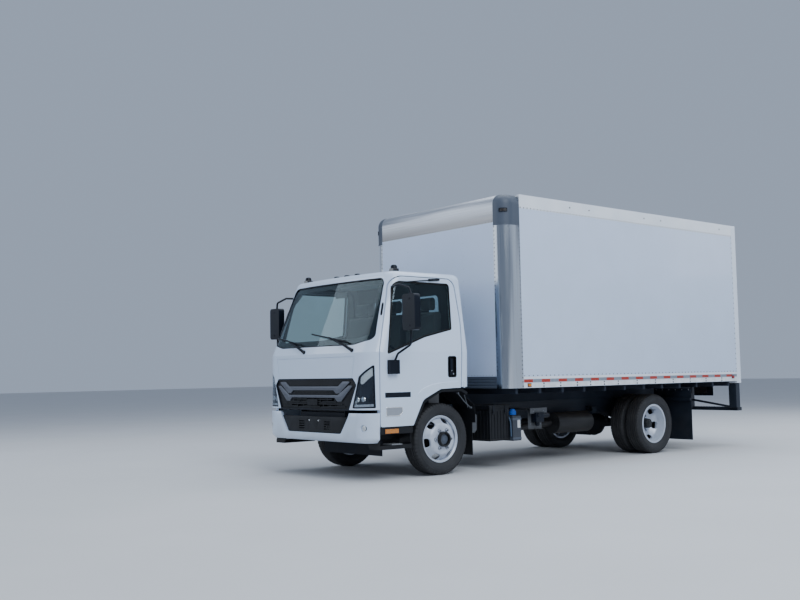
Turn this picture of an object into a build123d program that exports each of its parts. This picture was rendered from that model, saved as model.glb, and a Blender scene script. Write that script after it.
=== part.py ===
"""Cab-over box truck on a two-axle ladder frame, with twin rear wheels and a dry freight body.

Millimetres. X points to the truck's left, Y to its rear and Z up. The origin lies on the ground
under the middle of the vehicle. In the helpers below, y is counted rearwards from the front axle.
"""

import os
from math import cos, radians, sin, sqrt

from build123d import *

os.makedirs("parts", exist_ok=True)

# Overall layout
wheelbase = 3810
bumper_overhang = 1100
axle_to_body = 792
body_length = 4930
step_reach = 80
overall_length = bumper_overhang + axle_to_body + body_length + step_reach
front_axle_y = bumper_overhang - overall_length / 2
body_front = axle_to_body
body_rear = axle_to_body + body_length

# Gaps between pieces
running_gap = 0.05
seat_gap = 0.3
moving_gap = 6
door_gap = 8
door_rear_gap = 13

# Tyres and wheels
tyre_radius = 400
tyre_width = 226
tread_half_width = 92
bead_half_width = 76
rim_seat_radius = 248
flange_radius = 262
flange_lip = 8
barrel_radius = 236
disc_offset = 127
disc_thickness = 11
disc_bore = 82
disc_flat_radius = 150
disc_knee_radius = 172
disc_knee_drop = 9
disc_edge = 44
lip_depth = 12
stud_circle_radius = 111.125
stud_count = 6
hand_hole_radius = 204
hand_hole_length = 100
hand_hole_width = 56
hand_hole_turn = 10
hub_rim_reach = 169
hub_face = 135
hub_cap_radius = 66
front_half_track = 832.5
rear_half_track = 825
dual_spacing = 254
axle_height = tyre_radius

# Steering
kingpin_x = 700
kingpin_radius = 18
eye_radius = 40
eye_half_height = 48
ear_radius = 38
ear_height = 35
spindle_radius = 28
arm_length = 170
arm_half_width = 12
arm_thickness = 25
ball_pin_radius = 8
open_pin_gap = 1
tie_rod_radius = 14
backing_plate_radius = 158
backing_plate_thickness = 5
drum_radius = 162
drum_wall = 9

# Ladder frame
rail_outer_x = 425
rail_flange = 70
rail_wall = 7
rail_bottom = 537
rail_top = 754
rail_front = -960
rail_rear = 5650
cross_member_width = 60
cross_member_height = 150
cross_members = (-930, 1480, 2500, 3330, 4290, 5080, 5600)
bumper_bracket_front = -1043.5
cab_mount_y = (210, 270)

# Leaf springs
leaf_width = 70
leaf_thickness = 11
eye_pin_radius = 20
bracket_wall = 8

# Cab form, as level sections
# Columns: height, half width, front, bow of the front, front corner radius, rear
cab_sections = (
    (577, 1030, -1096, 14, 245, 348),
    (1370, 1042, -1088, 22, 245, 356),
    (2262, 962, -748, 60, 150, 310),
)
cab_rear_corner = 60
cab_wall = 50
roof_top = 2262
roof_round = 88
roof_seam = 2172
cab_side_bottom = 975
belt_seam = 1370
panel_bottom = 758
cab_back_inner = 300

# Cab doors, counted from the front axle
door_front = -928
door_bottom = 577
door_outline = (
    (door_front, door_bottom, 20),
    (door_front, 1382, 200),
    (-690, 2196, 170),
    (186, 2196, 120),
    (246, 1700, 900),
    (218, 966, 10),
    (-71, 966, 120),
    (-342, 850, 120),
    (-489, door_bottom, 15),
)
window_outline = (
    (-850, 1340, 18),
    (-692, 2146, 120),
    (126, 2146, 45),
    (112, 1620, 25),
    (-300, 1530, 500),
)
glass_thickness = 6
glass_inset = 12

# Windscreen and rear window, seen from the front
windscreen_outline = (
    (-958, 1508, 60),
    (-860, 2188, 90),
    (860, 2188, 90),
    (958, 1508, 60),
    (700, 1452, 400),
    (-700, 1452, 400),
)
rear_window_outline = (
    (-620, 1560, 60),
    (-620, 2050, 60),
    (620, 2050, 60),
    (620, 1560, 60),
)

# Grille, bumper and headlamps, seen from the front
grille_bottom = 747
grille_outline = (
    (-660, grille_bottom, 20),
    (-790, 1026, 25),
    (-726, 1098, 15),
    (726, 1098, 15),
    (790, 1026, 25),
    (660, grille_bottom, 20),
)
grille_recess = 10
grille_bar_lift = 4
# Bright bars: each outline is the right half, from the middle outwards and back
upper_bar = ((0, 1010, 0), (475, 1010, 25), (560, 1064, 12), (690, 1062, 8), (503, 936, 18),
             (442, 932, 18), (395, 968, 20), (0, 968, 0))
lower_bar = ((0, 914, 0), (470, 914, 25), (664, 1019, 12), (728, 1016, 8), (531, 848, 18),
             (464, 845, 18), (418, 886, 20), (0, 886, 0))
lid_half_top = 750
lid_half_bottom = 705
lid_top = 1325
seam_width = 5
seam_depth = 7
headlamp_outline = (
    (718, 773, 12),
    (822, 1112, 30),
    (985, 1240, 10),
    (990, 778, 10),
)
headlamp_recess = 3
bumper_bottom = 407
bumper_top = 723
bumper_wall = 40
bumper_chamfer = 40
bumper_opening = (
    (-700, bumper_top + 60, 5),
    (-648, 676, 20),
    (-520, 497, 40),
    (520, 497, 40),
    (648, 676, 20),
    (700, bumper_top + 60, 5),
)
insert_recess = 22
insert_thickness = 30
plate_hole_spacing = 178
plate_hole_height = 632
plate_hole_radius = 3.5

# Cab inside
low_floor = 800
high_floor = 1020
floor_thickness = 35
floor_step = -470
floor_half_width = 948
dash_half_width = 935
seat_cushion_top = 1230
seat_places = ((280, 800), (-330, 210), (-870, -350))

# Steps, arch liners and guards
step_front = -936
step_rear = -490
step_inner = 800
step_outer = 1018
step_plate = 12
board_bottom = 497
tread_bottom = 335
tread_top = 380
liner_inner = 600
liner_outer = 965
liner_front_bottom = 430
liner_rear_bottom = 560
flap_outer = 912
flap_bottom = 188
flap_thickness = 6
liner_outline = (
    (step_rear, liner_front_bottom, 0), (step_rear, 720, 200), (-250, 938, 120), (260, 938, 120),
    (505, 760, 120), (505, liner_rear_bottom, 0), (499, liner_rear_bottom, 0), (499, 758, 114),
    (258, 932, 114), (-248, 932, 114), (step_rear + 6, 718, 194), (step_rear + 6, liner_front_bottom, 0),
)
band_inner = 940
band_outer = 1014
band_outline = (
    (-472, 577, 0), (-328, 842, 120), (-67, 954, 120), (262, 954, 60), (345, 912, 0),
    (330, 882, 0), (246, 926, 60), (-60, 926, 90), (-302, 822, 90), (-440, 577, 0),
)
guard_half_width = 550
guard_y = (-548, -540)
guard_bottom = 224
guard_top = 400

# Door handles and mirrors
handle_recess_x = 1010
handle_recess_y = (30, 148)
handle_recess_z = (1092, 1317)
mirror_arm_radius = 12
mirror_arm_bend = 40
mirror_head = ((1195, 1590, 35), (1195, 1975, 35), (1398, 1975, 35), (1398, 1590, 35))
mirror_head_y = (-760, -680)
mirror_upper_arm = ((1300, -720, 1960), (1275, -730, 2045), (1100, -712, 2092), (925, -690, 2078))
mirror_lower_arm = ((1290, -720, 1600), (1285, -725, 1440), (1120, -765, 1350), (1075, -780, 1262))

# Load body
body_half_width = 1219
body_bottom = 942
body_top = 3235
body_wall = 30
post_radius = 150
post_side_edge = 1057
post_front_edge = 1040
casting_bottom = 2860
casting_round = 120
front_rail_bottom = 2900
bottom_rail_top = 1074
top_rail_bottom = 3070
front_sill_top = 1083
floor_top = 990
deck_thickness = 32
sill_height = 84
sill_half_spacing = 392
sill_width = 60
cross_sill_pitch = 406
cross_sill_width = 40
rear_frame_front = 5615
rear_post_width = 110
header_bottom = 2960
door_panel_count = 7
roller_door_y = 5655
roller_door_thickness = 26
roof_thickness = 20
panel_groove = 6

# Rear step bumper
step_bottom = 505
step_height = 50
step_depth = 110
step_half_width = 1160
brace_y = body_rear - 52
brace_radius = 16
outer_post_x = (1070, 1190)
inner_post_x = 350

# Mud flaps and lamps
flap_y = 4450
mud_flap_x = (590, 1205)
mud_flap_z = (150, 860)
side_marker_size = 50
front_marker_y = 1155
rear_marker_y = 5505
tail_lamp_x = (480, 700)
tail_lamp_z = (760, 850)
roof_lamp_x = (790, 868)
roof_lamp_y = (-600, -520)
roof_lamp_height = 34
rear_marker_places = (-1100, -180, 0, 180, 1100)
rear_marker_z = (3140, 3175)


def side_plane(x):
    """Upright plane across X: first the distance behind the front axle, then the height."""
    return Plane(origin=(x, front_axle_y, 0), x_dir=(0, 1, 0), z_dir=(1, 0, 0))


def front_plane(y):
    """Upright plane at y behind the front axle, seen from the front: first x, then the height."""
    return Plane(origin=(0, front_axle_y + y, 0), x_dir=(1, 0, 0), z_dir=(0, -1, 0))


def level_plane(z):
    """Level plane: first x, then the distance behind the front axle."""
    return Plane(origin=(0, front_axle_y, z))


def block(x, y, z, mode=Mode.ADD):
    """Box between two limits on each axis."""
    middle = ((x[0] + x[1]) / 2, front_axle_y + (y[0] + y[1]) / 2, (z[0] + z[1]) / 2)
    with Locations(middle):
        Box(abs(x[1] - x[0]), abs(y[1] - y[0]), abs(z[1] - z[0]), mode=mode)


def slab(plane, points, depth, mode=Mode.ADD):
    """Prism on a plane; a point is (first, second) or (first, second, corner radius)."""
    radii = [point[2] if len(point) > 2 else 0 for point in points]
    with BuildSketch(plane) as profile:
        with BuildLine():
            if any(radii):
                FilletPolyline(*[point[:2] for point in points], radius=radii, close=True)
            else:
                Polyline(*[point[:2] for point in points], close=True)
        make_face()
    extrude(profile.sketch, amount=depth, mode=mode)


def side_slab(points, x, mode=Mode.ADD):
    """Side profile carried from x[0] to x[1]."""
    slab(side_plane(min(x)), points, abs(x[1] - x[0]), mode)


def front_slab(points, y, mode=Mode.ADD):
    """Front profile carried from y[0] to y[1]."""
    slab(front_plane(max(y)), points, abs(y[1] - y[0]), mode)


def level_slab(points, z, mode=Mode.ADD):
    """Plan profile carried from z[0] to z[1]."""
    slab(level_plane(min(z)), points, abs(z[1] - z[0]), mode)


def bar(start, end, radius, mode=Mode.ADD):
    """Round bar between two points, y behind the front axle."""
    begin = Vector(start[0], front_axle_y + start[1], start[2])
    finish = Vector(end[0], front_axle_y + end[1], end[2])
    with BuildSketch(Plane(origin=begin, z_dir=finish - begin)) as section:
        Circle(radius)
    extrude(section.sketch, amount=(finish - begin).length, mode=mode)


def bent_bar(points, bend, radius):
    """Round bar along straight runs joined by bends."""
    with BuildLine() as route:
        FilletPolyline(*[(x, front_axle_y + y, z) for x, y, z in points], radius=bend)
    with BuildSketch(Plane(origin=route.line @ 0, z_dir=route.line % 0)) as section:
        Circle(radius)
    sweep(section.sketch, path=route.line)


def turned(points, x, y, z, outward=1, mode=Mode.ADD):
    """Ring turned about an axle along X; a point is (distance outward, radius)."""
    centre = (x, front_axle_y + y, z)
    with BuildSketch(Plane(origin=centre, x_dir=(outward, 0, 0), z_dir=(0, -outward, 0))) as profile:
        with BuildLine():
            Polyline(*points, close=True)
        make_face()
    revolve(profile.sketch, axis=Axis(centre, (1, 0, 0)), mode=mode)


def keep(piece, name):
    """Label a finished piece and write its file."""
    piece.part.label = name
    export_step(piece.part, f"parts/{name}.step")


def leaf_stack(x, y, top, half_length, rise, leaves):
    """Leaf spring whose main leaf ends in two eyes, with shorter leaves below it."""
    curve = (half_length**2 + rise**2) / (2 * rise)
    for leaf in range(leaves):
        reach = half_length * (1 - leaf / (leaves + 1.5))
        outer = curve + leaf * leaf_thickness
        inner = outer + leaf_thickness
        centre = top - leaf_thickness * leaves + curve + leaves * leaf_thickness
        heights = [centre - sqrt(radius**2 - reach**2) for radius in (outer, inner)]
        with BuildSketch(side_plane(x - leaf_width / 2)) as profile:
            with BuildLine():
                ThreePointArc((y - reach, heights[0]), (y, centre - outer), (y + reach, heights[0]))
                Line((y + reach, heights[0]), (y + reach, heights[1]))
                ThreePointArc((y + reach, heights[1]), (y, centre - inner), (y - reach, heights[1]))
                Line((y - reach, heights[1]), (y - reach, heights[0]))
            make_face()
        extrude(profile.sketch, amount=leaf_width)
    for end in (-1, 1):
        eye = (y + end * half_length, top + rise)
        bar((x - leaf_width / 2, *eye), (x + leaf_width / 2, *eye), eye_pin_radius)


# Chassis

front_spring_x = rail_outer_x - leaf_width / 2
front_spring_half_length = 600
front_spring_rise = 60
front_spring_leaves = 4
front_pad_top = 380
front_leaf_top = front_pad_top + front_spring_leaves * leaf_thickness
front_eye_height = front_leaf_top + front_spring_rise

rear_spring_x = 495
rear_spring_half_length = 640
rear_spring_rise = 55
rear_spring_leaves = 6
rear_pad_top = 475
rear_leaf_top = rear_pad_top + rear_spring_leaves * leaf_thickness
rear_eye_height = rear_leaf_top + rear_spring_rise

with BuildPart() as chassis_frame:
    for side in (-1, 1):
        block((side * (rail_outer_x - rail_wall), side * rail_outer_x), (rail_front, rail_rear),
              (rail_bottom, rail_top))
        for flange in ((rail_bottom, rail_bottom + rail_wall), (rail_top - rail_wall, rail_top)):
            block((side * (rail_outer_x - rail_flange), side * rail_outer_x),
                  (rail_front, rail_rear), flange)
        # Spring brackets: two cheeks either side of each eye
        for end in (-1, 1):
            eye_y = end * front_spring_half_length
            for cheek in (front_spring_x - leaf_width / 2 - bracket_wall,
                          front_spring_x + leaf_width / 2):
                block((side * cheek, side * (cheek + bracket_wall)), (eye_y - 45, eye_y + 45),
                      (front_eye_height - 32, rail_bottom + 60))
            eye_y = wheelbase + end * rear_spring_half_length
            for cheek in (rear_spring_x - leaf_width / 2 - bracket_wall,
                          rear_spring_x + leaf_width / 2):
                block((side * cheek, side * (cheek + bracket_wall)), (eye_y - 50, eye_y + 50),
                      (rear_eye_height - 32, rear_eye_height + 48))
            block((side * rail_outer_x, side * (rear_spring_x + leaf_width / 2 + bracket_wall)),
                  (eye_y - 50, eye_y + 50), (rear_eye_height + 36, rear_eye_height + 48))
        # Bumper bracket, front cab mount, rear cab mount post
        block((side * rail_outer_x, side * (rail_outer_x - rail_flange)),
              (bumper_bracket_front, rail_front), (580, 660))
        block((side * rail_outer_x, side * (rail_outer_x - rail_flange)), (-900, -800),
              (rail_top, low_floor - floor_thickness - seat_gap))
        block((side * rail_outer_x, side * (rail_outer_x - rail_flange)), cab_mount_y,
              (rail_top, high_floor - floor_thickness - seat_gap))
    block((-rail_outer_x, rail_outer_x), cab_mount_y,
          (high_floor - floor_thickness - 60, high_floor - floor_thickness - seat_gap))
    rail_inside = rail_outer_x - rail_wall
    member_middle = (rail_bottom + rail_top) / 2
    for member in cross_members:
        block((-rail_inside, rail_inside),
              (member - cross_member_width / 2, member - cross_member_width / 2 + rail_wall),
              (member_middle - cross_member_height / 2, member_middle + cross_member_height / 2))
        for level in (-1, 1):
            lip = member_middle + level * (cross_member_height - rail_wall) / 2
            block((-rail_inside, rail_inside),
                  (member - cross_member_width / 2, member + cross_member_width / 2),
                  (lip - rail_wall / 2, lip + rail_wall / 2))
keep(chassis_frame, "chassis_frame")

with BuildPart() as front_axle:
    beam_drop = 55
    beam_middle = axle_height - beam_drop
    front_slab(
        (
            (-kingpin_x, axle_height - 36, 0),
            (-kingpin_x, axle_height + 36, 0),
            (-600, axle_height + 20, 60),
            (-500, front_pad_top - 8, 60),
            (500, front_pad_top - 8, 60),
            (600, axle_height + 20, 60),
            (kingpin_x, axle_height + 36, 0),
            (kingpin_x, axle_height - 36, 0),
            (600, axle_height - 55, 60),
            (480, front_pad_top - 90, 60),
            (-480, front_pad_top - 90, 60),
            (-600, axle_height - 55, 60),
        ),
        (-30, 30),
    )
    for face in (-1, 1):
        block((-440, 440), (face * 12, face * 40), (front_pad_top - 72, front_pad_top - 26),
              mode=Mode.SUBTRACT)
    for side in (-1, 1):
        block((side * (front_spring_x - 40), side * (front_spring_x + 40)), (-60, 60),
              (front_pad_top - 12, front_pad_top))
        bar((side * kingpin_x, 0, axle_height - eye_half_height),
            (side * kingpin_x, 0, axle_height + eye_half_height), eye_radius)
        bar((side * kingpin_x, 0, axle_height - eye_half_height - moving_gap - ear_height),
            (side * kingpin_x, 0, axle_height + eye_half_height + moving_gap + ear_height),
            kingpin_radius)
keep(front_axle, "front_axle")

with BuildPart() as leaf_springs:
    for side in (-1, 1):
        leaf_stack(side * front_spring_x, 0, front_leaf_top, front_spring_half_length,
                   front_spring_rise, front_spring_leaves)
        leaf_stack(side * rear_spring_x, wheelbase, rear_leaf_top, rear_spring_half_length,
                   rear_spring_rise, rear_spring_leaves)
keep(leaf_springs, "leaf_springs")

axle_tube_radius = 58
rear_spindle_radius = 40
rear_spindle_end = 930
pinion_y = wheelbase - 330
pinion_height = axle_height + 15
with BuildPart() as rear_axle:
    turned(
        ((0, 0), (0, 185), (70, 175), (170, axle_tube_radius + 12), (300, axle_tube_radius),
         (600, axle_tube_radius), (610, rear_spindle_radius), (rear_spindle_end, rear_spindle_radius),
         (rear_spindle_end, 0)),
        0, wheelbase, axle_height,
    )
    mirror(about=Plane.YZ)
    bar((0, pinion_y, pinion_height), (0, wheelbase - 80, pinion_height), 75)
    for side in (-1, 1):
        block((side * (rear_spring_x - 40), side * (rear_spring_x + 40)),
              (wheelbase - 65, wheelbase + 65), (axle_height, rear_pad_top))
keep(rear_axle, "rear_axle")

engine_half_width = 285
engine_top = 915
gearbox_end = 1290
shaft_front_height = 520
with BuildPart() as engine_block:
    block((-engine_half_width, engine_half_width), (-330, 560), (455, engine_top))
    bar((0, 560, shaft_front_height + 40), (0, 700, shaft_front_height + 40), 190)
    bar((0, 700, shaft_front_height), (0, gearbox_end, shaft_front_height), 105)
    for side in (-1, 1):
        block((side * engine_half_width, side * (rail_outer_x - rail_flange)), (60, 140),
              (rail_bottom + 60, rail_bottom + 110))
        block((side * (rail_outer_x - rail_flange), side * rail_inside), (60, 140),
              (rail_bottom + rail_wall, rail_bottom + 110))
keep(engine_block, "engine_block")

shaft_radius = 38
yoke_radius = 52
with BuildPart() as drive_shaft:
    bar((0, gearbox_end + 20, shaft_front_height), (0, pinion_y - 20, pinion_height), shaft_radius)
    bar((0, gearbox_end + seat_gap, shaft_front_height),
        (0, gearbox_end + 50, shaft_front_height), yoke_radius)
    bar((0, pinion_y - 50, pinion_height), (0, pinion_y - seat_gap, pinion_height), yoke_radius)
keep(drive_shaft, "drive_shaft")

with BuildPart() as radiator:
    block((-350, 350), (-895, -840), (430, 745))
    for side in (-1, 1):
        block((side * 350, side * rail_inside), (-885, -850), (rail_bottom + rail_wall, rail_top - rail_wall))
keep(radiator, "radiator")

muffler_x = 640
muffler_y = (2180, 2860)
muffler_height = 470
muffler_radius = 135
pipe_radius = 38
with BuildPart() as exhaust:
    bar((muffler_x, muffler_y[0], muffler_height), (muffler_x, muffler_y[1], muffler_height),
        muffler_radius)
    bent_bar(((engine_half_width - 60, 640, 480), (engine_half_width - 60, 1000, 440),
              (muffler_x - 30, 1600, 440), (muffler_x - 30, muffler_y[0] + 20, muffler_height)),
             150, pipe_radius)
    for hanger in (muffler_y[0] + 120, muffler_y[1] - 120):
        block((rail_outer_x, muffler_x), (hanger - 20, hanger + 20),
              (muffler_height + 60, muffler_height + 125))
keep(exhaust, "exhaust")

battery_x = (520, 960)
battery_y = (740, 1060)
fluid_tank_x = (620, 1000)
fluid_tank_y = (1085, 1225)
fluid_tank_top = 610
filler_y = 1155
fuel_tank_x = (-960, -470)
fuel_tank_round = 60
fuel_tank_corners = ((980, 330), (2080, 330), (2080, 700), (980, 700))
with BuildPart() as side_tanks:
    # Battery box behind the left front wheel
    block(battery_x, battery_y, (330, 745))
    block((rail_outer_x, battery_x[0]), (battery_y[0] + 40, battery_y[1] - 40), (600, 720))
    # Fluid tank beside it, with its filler neck
    block(fluid_tank_x, fluid_tank_y, (318, fluid_tank_top))
    bar((930, filler_y, fluid_tank_top - 10), (930, filler_y, fluid_tank_top + 45), 32)
    block((rail_outer_x, fluid_tank_x[0]), (filler_y - 45, filler_y + 45),
          (fluid_tank_top - 50, fluid_tank_top - 10))
    # Fuel tank on the right rail
    side_slab([(y, z, fuel_tank_round) for y, z in fuel_tank_corners], fuel_tank_x)
    for strap in (1160, 1860):
        block((fuel_tank_x[1], -rail_outer_x), (strap - 25, strap + 25), (560, 690))
keep(side_tanks, "side_tanks")


# Wheels and tyres

def tyre_ring(x, y):
    """Tyre with a flat tread, rounded shoulders and bulging side walls."""
    turned(
        (
            (-bead_half_width, rim_seat_radius),
            (-bead_half_width - 4, flange_radius),
            (-tyre_width / 2, 318),
            (-tyre_width / 2 + 3, 352),
            (-tread_half_width, tyre_radius - 8),
            (-tread_half_width + 26, tyre_radius),
            (tread_half_width - 26, tyre_radius),
            (tread_half_width, tyre_radius - 8),
            (tyre_width / 2 - 3, 352),
            (tyre_width / 2, 318),
            (bead_half_width + 4, flange_radius),
            (bead_half_width, rim_seat_radius),
        ),
        x, y, axle_height,
    )


def disc_wheel(x, y, outward):
    """Steel disc wheel: barrel, two flanges and a dished disc with oval hand holes."""
    lip = bead_half_width + flange_lip
    turned(
        (
            (-bead_half_width, rim_seat_radius),
            (bead_half_width, rim_seat_radius),
            (lip, flange_radius),
            (lip, flange_radius - 8),
            (lip - lip_depth, barrel_radius),
            (disc_edge, barrel_radius),
            (disc_offset - disc_knee_drop, disc_knee_radius),
            (disc_offset, disc_flat_radius),
            (disc_offset, disc_bore),
            (disc_offset - disc_thickness, disc_bore),
            (disc_offset - disc_thickness, disc_flat_radius - 8),
            (disc_offset - disc_thickness - disc_knee_drop, disc_knee_radius - 9),
            (disc_edge - 18, barrel_radius),
            (-lip, barrel_radius),
            (-lip, flange_radius),
        ),
        x, y, axle_height, outward,
    )
    face = Plane(origin=(x, front_axle_y + y, axle_height), x_dir=(0, 1, 0), z_dir=(outward, 0, 0))
    with BuildSketch(face.offset(disc_edge - 24)) as holes:
        with PolarLocations(hand_hole_radius, stud_count, start_angle=hand_hole_turn):
            SlotOverall(hand_hole_length, hand_hole_width, rotation=90)
    extrude(holes.sketch, amount=disc_offset - disc_edge + 30, mode=Mode.SUBTRACT)


def lug_nuts(x, y, outward):
    """Ring of wheel nuts on the disc's outer face."""
    face = Plane(origin=(x, front_axle_y + y, axle_height), x_dir=(0, 1, 0), z_dir=(outward, 0, 0))
    with BuildSketch(face) as nuts:
        with PolarLocations(stud_circle_radius, stud_count):
            RegularPolygon(17, 6)
    extrude(nuts.sketch, amount=20)


for name, side in (("left", 1), ("right", -1)):
    wheel_x = side * front_half_track
    pin_x = side * kingpin_x

    with BuildPart() as front_tyre:
        tyre_ring(wheel_x, 0)
    keep(front_tyre, f"front_tyre_{name}")

    with BuildPart() as front_wheel:
        disc_wheel(wheel_x, 0, side)
        mount = disc_offset - disc_thickness
        drum_back = kingpin_x + 64 + backing_plate_thickness + moving_gap - front_half_track
        bore = spindle_radius + running_gap
        turned(
            (
                (drum_back, drum_radius - drum_wall),
                (drum_back, drum_radius),
                (mount, drum_radius - 16),
                (mount, disc_bore),
                (hub_rim_reach, disc_bore - 2),
                (hub_rim_reach, hub_cap_radius),
                (hub_face, hub_cap_radius),
                (hub_face, 0),
                (mount + 6, 0),
                (mount + 6, bore),
                (-40, bore),
                (-40, 56),
                (mount - 14, 56),
                (mount - 14, drum_radius - drum_wall - 12),
            ),
            wheel_x, 0, axle_height, side,
        )
        lug_nuts(wheel_x + side * disc_offset, 0, side)
    keep(front_wheel, f"front_wheel_{name}")

    with BuildPart() as knuckle:
        ear_low = axle_height - eye_half_height - moving_gap - ear_height
        ear_high = axle_height + eye_half_height + moving_gap
        web_in = kingpin_x + eye_radius + moving_gap
        web_out = kingpin_x + 64
        for ear in (ear_low, ear_high):
            bar((pin_x, 0, ear), (pin_x, 0, ear + ear_height), ear_radius)
            block((pin_x, side * web_out), (-ear_radius, ear_radius), (ear, ear + ear_height))
        block((side * web_in, side * web_out), (-46, 46), (ear_low, ear_high + ear_height))
        bar((side * web_out, 0, axle_height), (side * (front_half_track + mount - 4), 0, axle_height),
            spindle_radius)
        bar((side * web_out, 0, axle_height),
            (side * (web_out + backing_plate_thickness), 0, axle_height), backing_plate_radius)
        # Steering arm, straight back from the lower ear
        block((pin_x - arm_half_width, pin_x + arm_half_width), (0, arm_length),
              (ear_low + 5, ear_low + 5 + arm_thickness))
        bar((pin_x, arm_length, ear_low + 5), (pin_x, arm_length, ear_low + 5 + arm_thickness), 18)
        bar((pin_x, 0, ear_low), (pin_x, 0, ear_high + ear_height), kingpin_radius + running_gap,
            mode=Mode.SUBTRACT)
        eye_clearance = running_gap if side == 1 else open_pin_gap
        bar((pin_x, arm_length, ear_low), (pin_x, arm_length, ear_low + 2 * arm_thickness),
            ball_pin_radius + eye_clearance, mode=Mode.SUBTRACT)
    keep(knuckle, f"knuckle_{name}")

    with BuildPart() as rear_tyres:
        for row in (-1, 1):
            tyre_ring(side * (rear_half_track + row * dual_spacing / 2), wheelbase)
    keep(rear_tyres, f"rear_tyres_{name}")

    with BuildPart() as rear_wheels:
        disc_wheel(side * (rear_half_track - dual_spacing / 2), wheelbase, side)
        disc_wheel(side * (rear_half_track + dual_spacing / 2), wheelbase, -side)
        rear_bore = rear_spindle_radius + running_gap
        hub_end = rear_spindle_end - rear_half_track + 12
        turned(
            (
                (-150, rear_bore),
                (-150, 150),
                (-disc_thickness, 150),
                (-disc_thickness, disc_bore),
                (disc_thickness + 20, disc_bore - 2),
                (disc_thickness + 20, 72),
                (hub_end + 14, 62),
                (hub_end + 14, 0),
                (hub_end, 0),
                (hub_end, rear_bore),
            ),
            side * rear_half_track, wheelbase, axle_height, side,
        )
        lug_nuts(side * (rear_half_track + disc_thickness), wheelbase, side)
    keep(rear_wheels, f"rear_wheels_{name}")

rod_height = axle_height - eye_half_height - moving_gap - ear_height + 5 - moving_gap - 12
with BuildPart() as tie_rod:
    bar((-kingpin_x, arm_length, rod_height), (kingpin_x, arm_length, rod_height), tie_rod_radius)
    for side in (-1, 1):
        bar((side * kingpin_x, arm_length, rod_height - 12),
            (side * kingpin_x, arm_length, rod_height + 12), 20)
        bar((side * kingpin_x, arm_length, rod_height),
            (side * kingpin_x, arm_length, rod_height + 12 + moving_gap + arm_thickness),
            ball_pin_radius)
keep(tie_rod, "tie_rod")


# Cab

def cab_section(section, inset):
    """Level outline of the cab: rear line, rear corners, sides, front corners and bowed front."""
    height, half_width, front, bow, corner, rear = section
    half_width = half_width - inset
    front = front + inset
    rear = rear - inset
    corner = corner - inset
    back_corner = cab_rear_corner - min(inset, cab_rear_corner - 8)
    cut = 1 - sqrt(0.5)
    with BuildSketch(level_plane(height)) as outline:
        with BuildLine():
            for side in (-1, 1):
                Line((0, rear), (side * (half_width - back_corner), rear))
                ThreePointArc(
                    (side * (half_width - back_corner), rear),
                    (side * (half_width - cut * back_corner), rear - cut * back_corner),
                    (side * half_width, rear - back_corner),
                )
                Line((side * half_width, rear - back_corner),
                     (side * half_width, front + bow + corner))
                ThreePointArc(
                    (side * half_width, front + bow + corner),
                    (side * (half_width - cut * corner), front + bow + cut * corner),
                    (side * (half_width - corner), front + bow),
                )
            ThreePointArc((half_width - corner, front + bow), (0, front),
                          (corner - half_width, front + bow))
        make_face()
    return outline.sketch


def cab_form(inset, low, high, sections=cab_sections):
    """Cab body drawn in by an inset and cut between two heights."""
    outlines = [cab_section(section, inset) for section in sections]
    with BuildPart() as form:
        loft(outlines, ruled=True)
        block((-1500, 1500), (-1500, 1500), (low, high), mode=Mode.INTERSECT)
    return form.part


def cab_layer(inset, thickness, low, high, sections=cab_sections):
    """Skin of the cab form, from an inset to an inset deeper by the thickness."""
    outside = cab_form(inset, low, high, sections)
    inside = cab_form(inset + thickness, low - 1, high + 1, sections)
    with BuildPart() as layer:
        add(outside)
        add(inside, mode=Mode.SUBTRACT)
    return layer.part


def side_space(points, x):
    """Solid behind a side outline, for cutting panels and panes from the cab's skin."""
    with BuildPart() as space:
        side_slab(points, x)
    return space.part


def front_space(outlines, y):
    """Solids behind front outlines, for cutting panels and lamps from the cab's skin."""
    with BuildPart() as space:
        for points in outlines:
            front_slab(points, y)
    return space.part


cab_outside = cab_form(0, door_bottom, roof_top)
with BuildPart() as cab_skin:
    add(cab_outside)
    fillet(cab_skin.edges().group_by(Axis.Z)[-1], roof_round)
cab_hollow = cab_form(cab_wall, door_bottom - 1, roof_top - cab_wall)
with BuildPart() as cab_walls:
    add(cab_skin.part)
    add(cab_hollow, mode=Mode.SUBTRACT)
    front_slab(windscreen_outline, (-1200, -600), mode=Mode.SUBTRACT)
    front_slab(rear_window_outline, (200, 500), mode=Mode.SUBTRACT)
cab_shell = cab_walls.part


def grown(outline, amounts):
    """Outline with each point moved by its own step."""
    return tuple((a + da, b + db, r) for (a, b, r), (da, db) in zip(outline, amounts))


door_steps = (
    (-door_gap, -door_gap), (-door_gap, 0), (-door_gap, door_gap), (door_rear_gap, door_gap),
    (door_rear_gap, 0), (door_rear_gap, 0), (0, 0), (0, 0), (0, -door_gap),
)
door_opening = grown(door_outline, door_steps)

with BuildPart() as cab_roof:
    add(cab_shell)
    block((-1500, 1500), (-1500, 1500), (roof_seam, roof_top + 10), mode=Mode.INTERSECT)
    side_slab(door_opening, (700, 1500), mode=Mode.SUBTRACT)
    side_slab(door_opening, (-1500, -700), mode=Mode.SUBTRACT)
keep(cab_roof, "cab_roof")

with BuildPart() as cab_back:
    add(cab_shell)
    block((-900, 900), (cab_back_inner, 600), (cab_side_bottom, roof_seam), mode=Mode.INTERSECT)
keep(cab_back, "cab_back")

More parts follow.
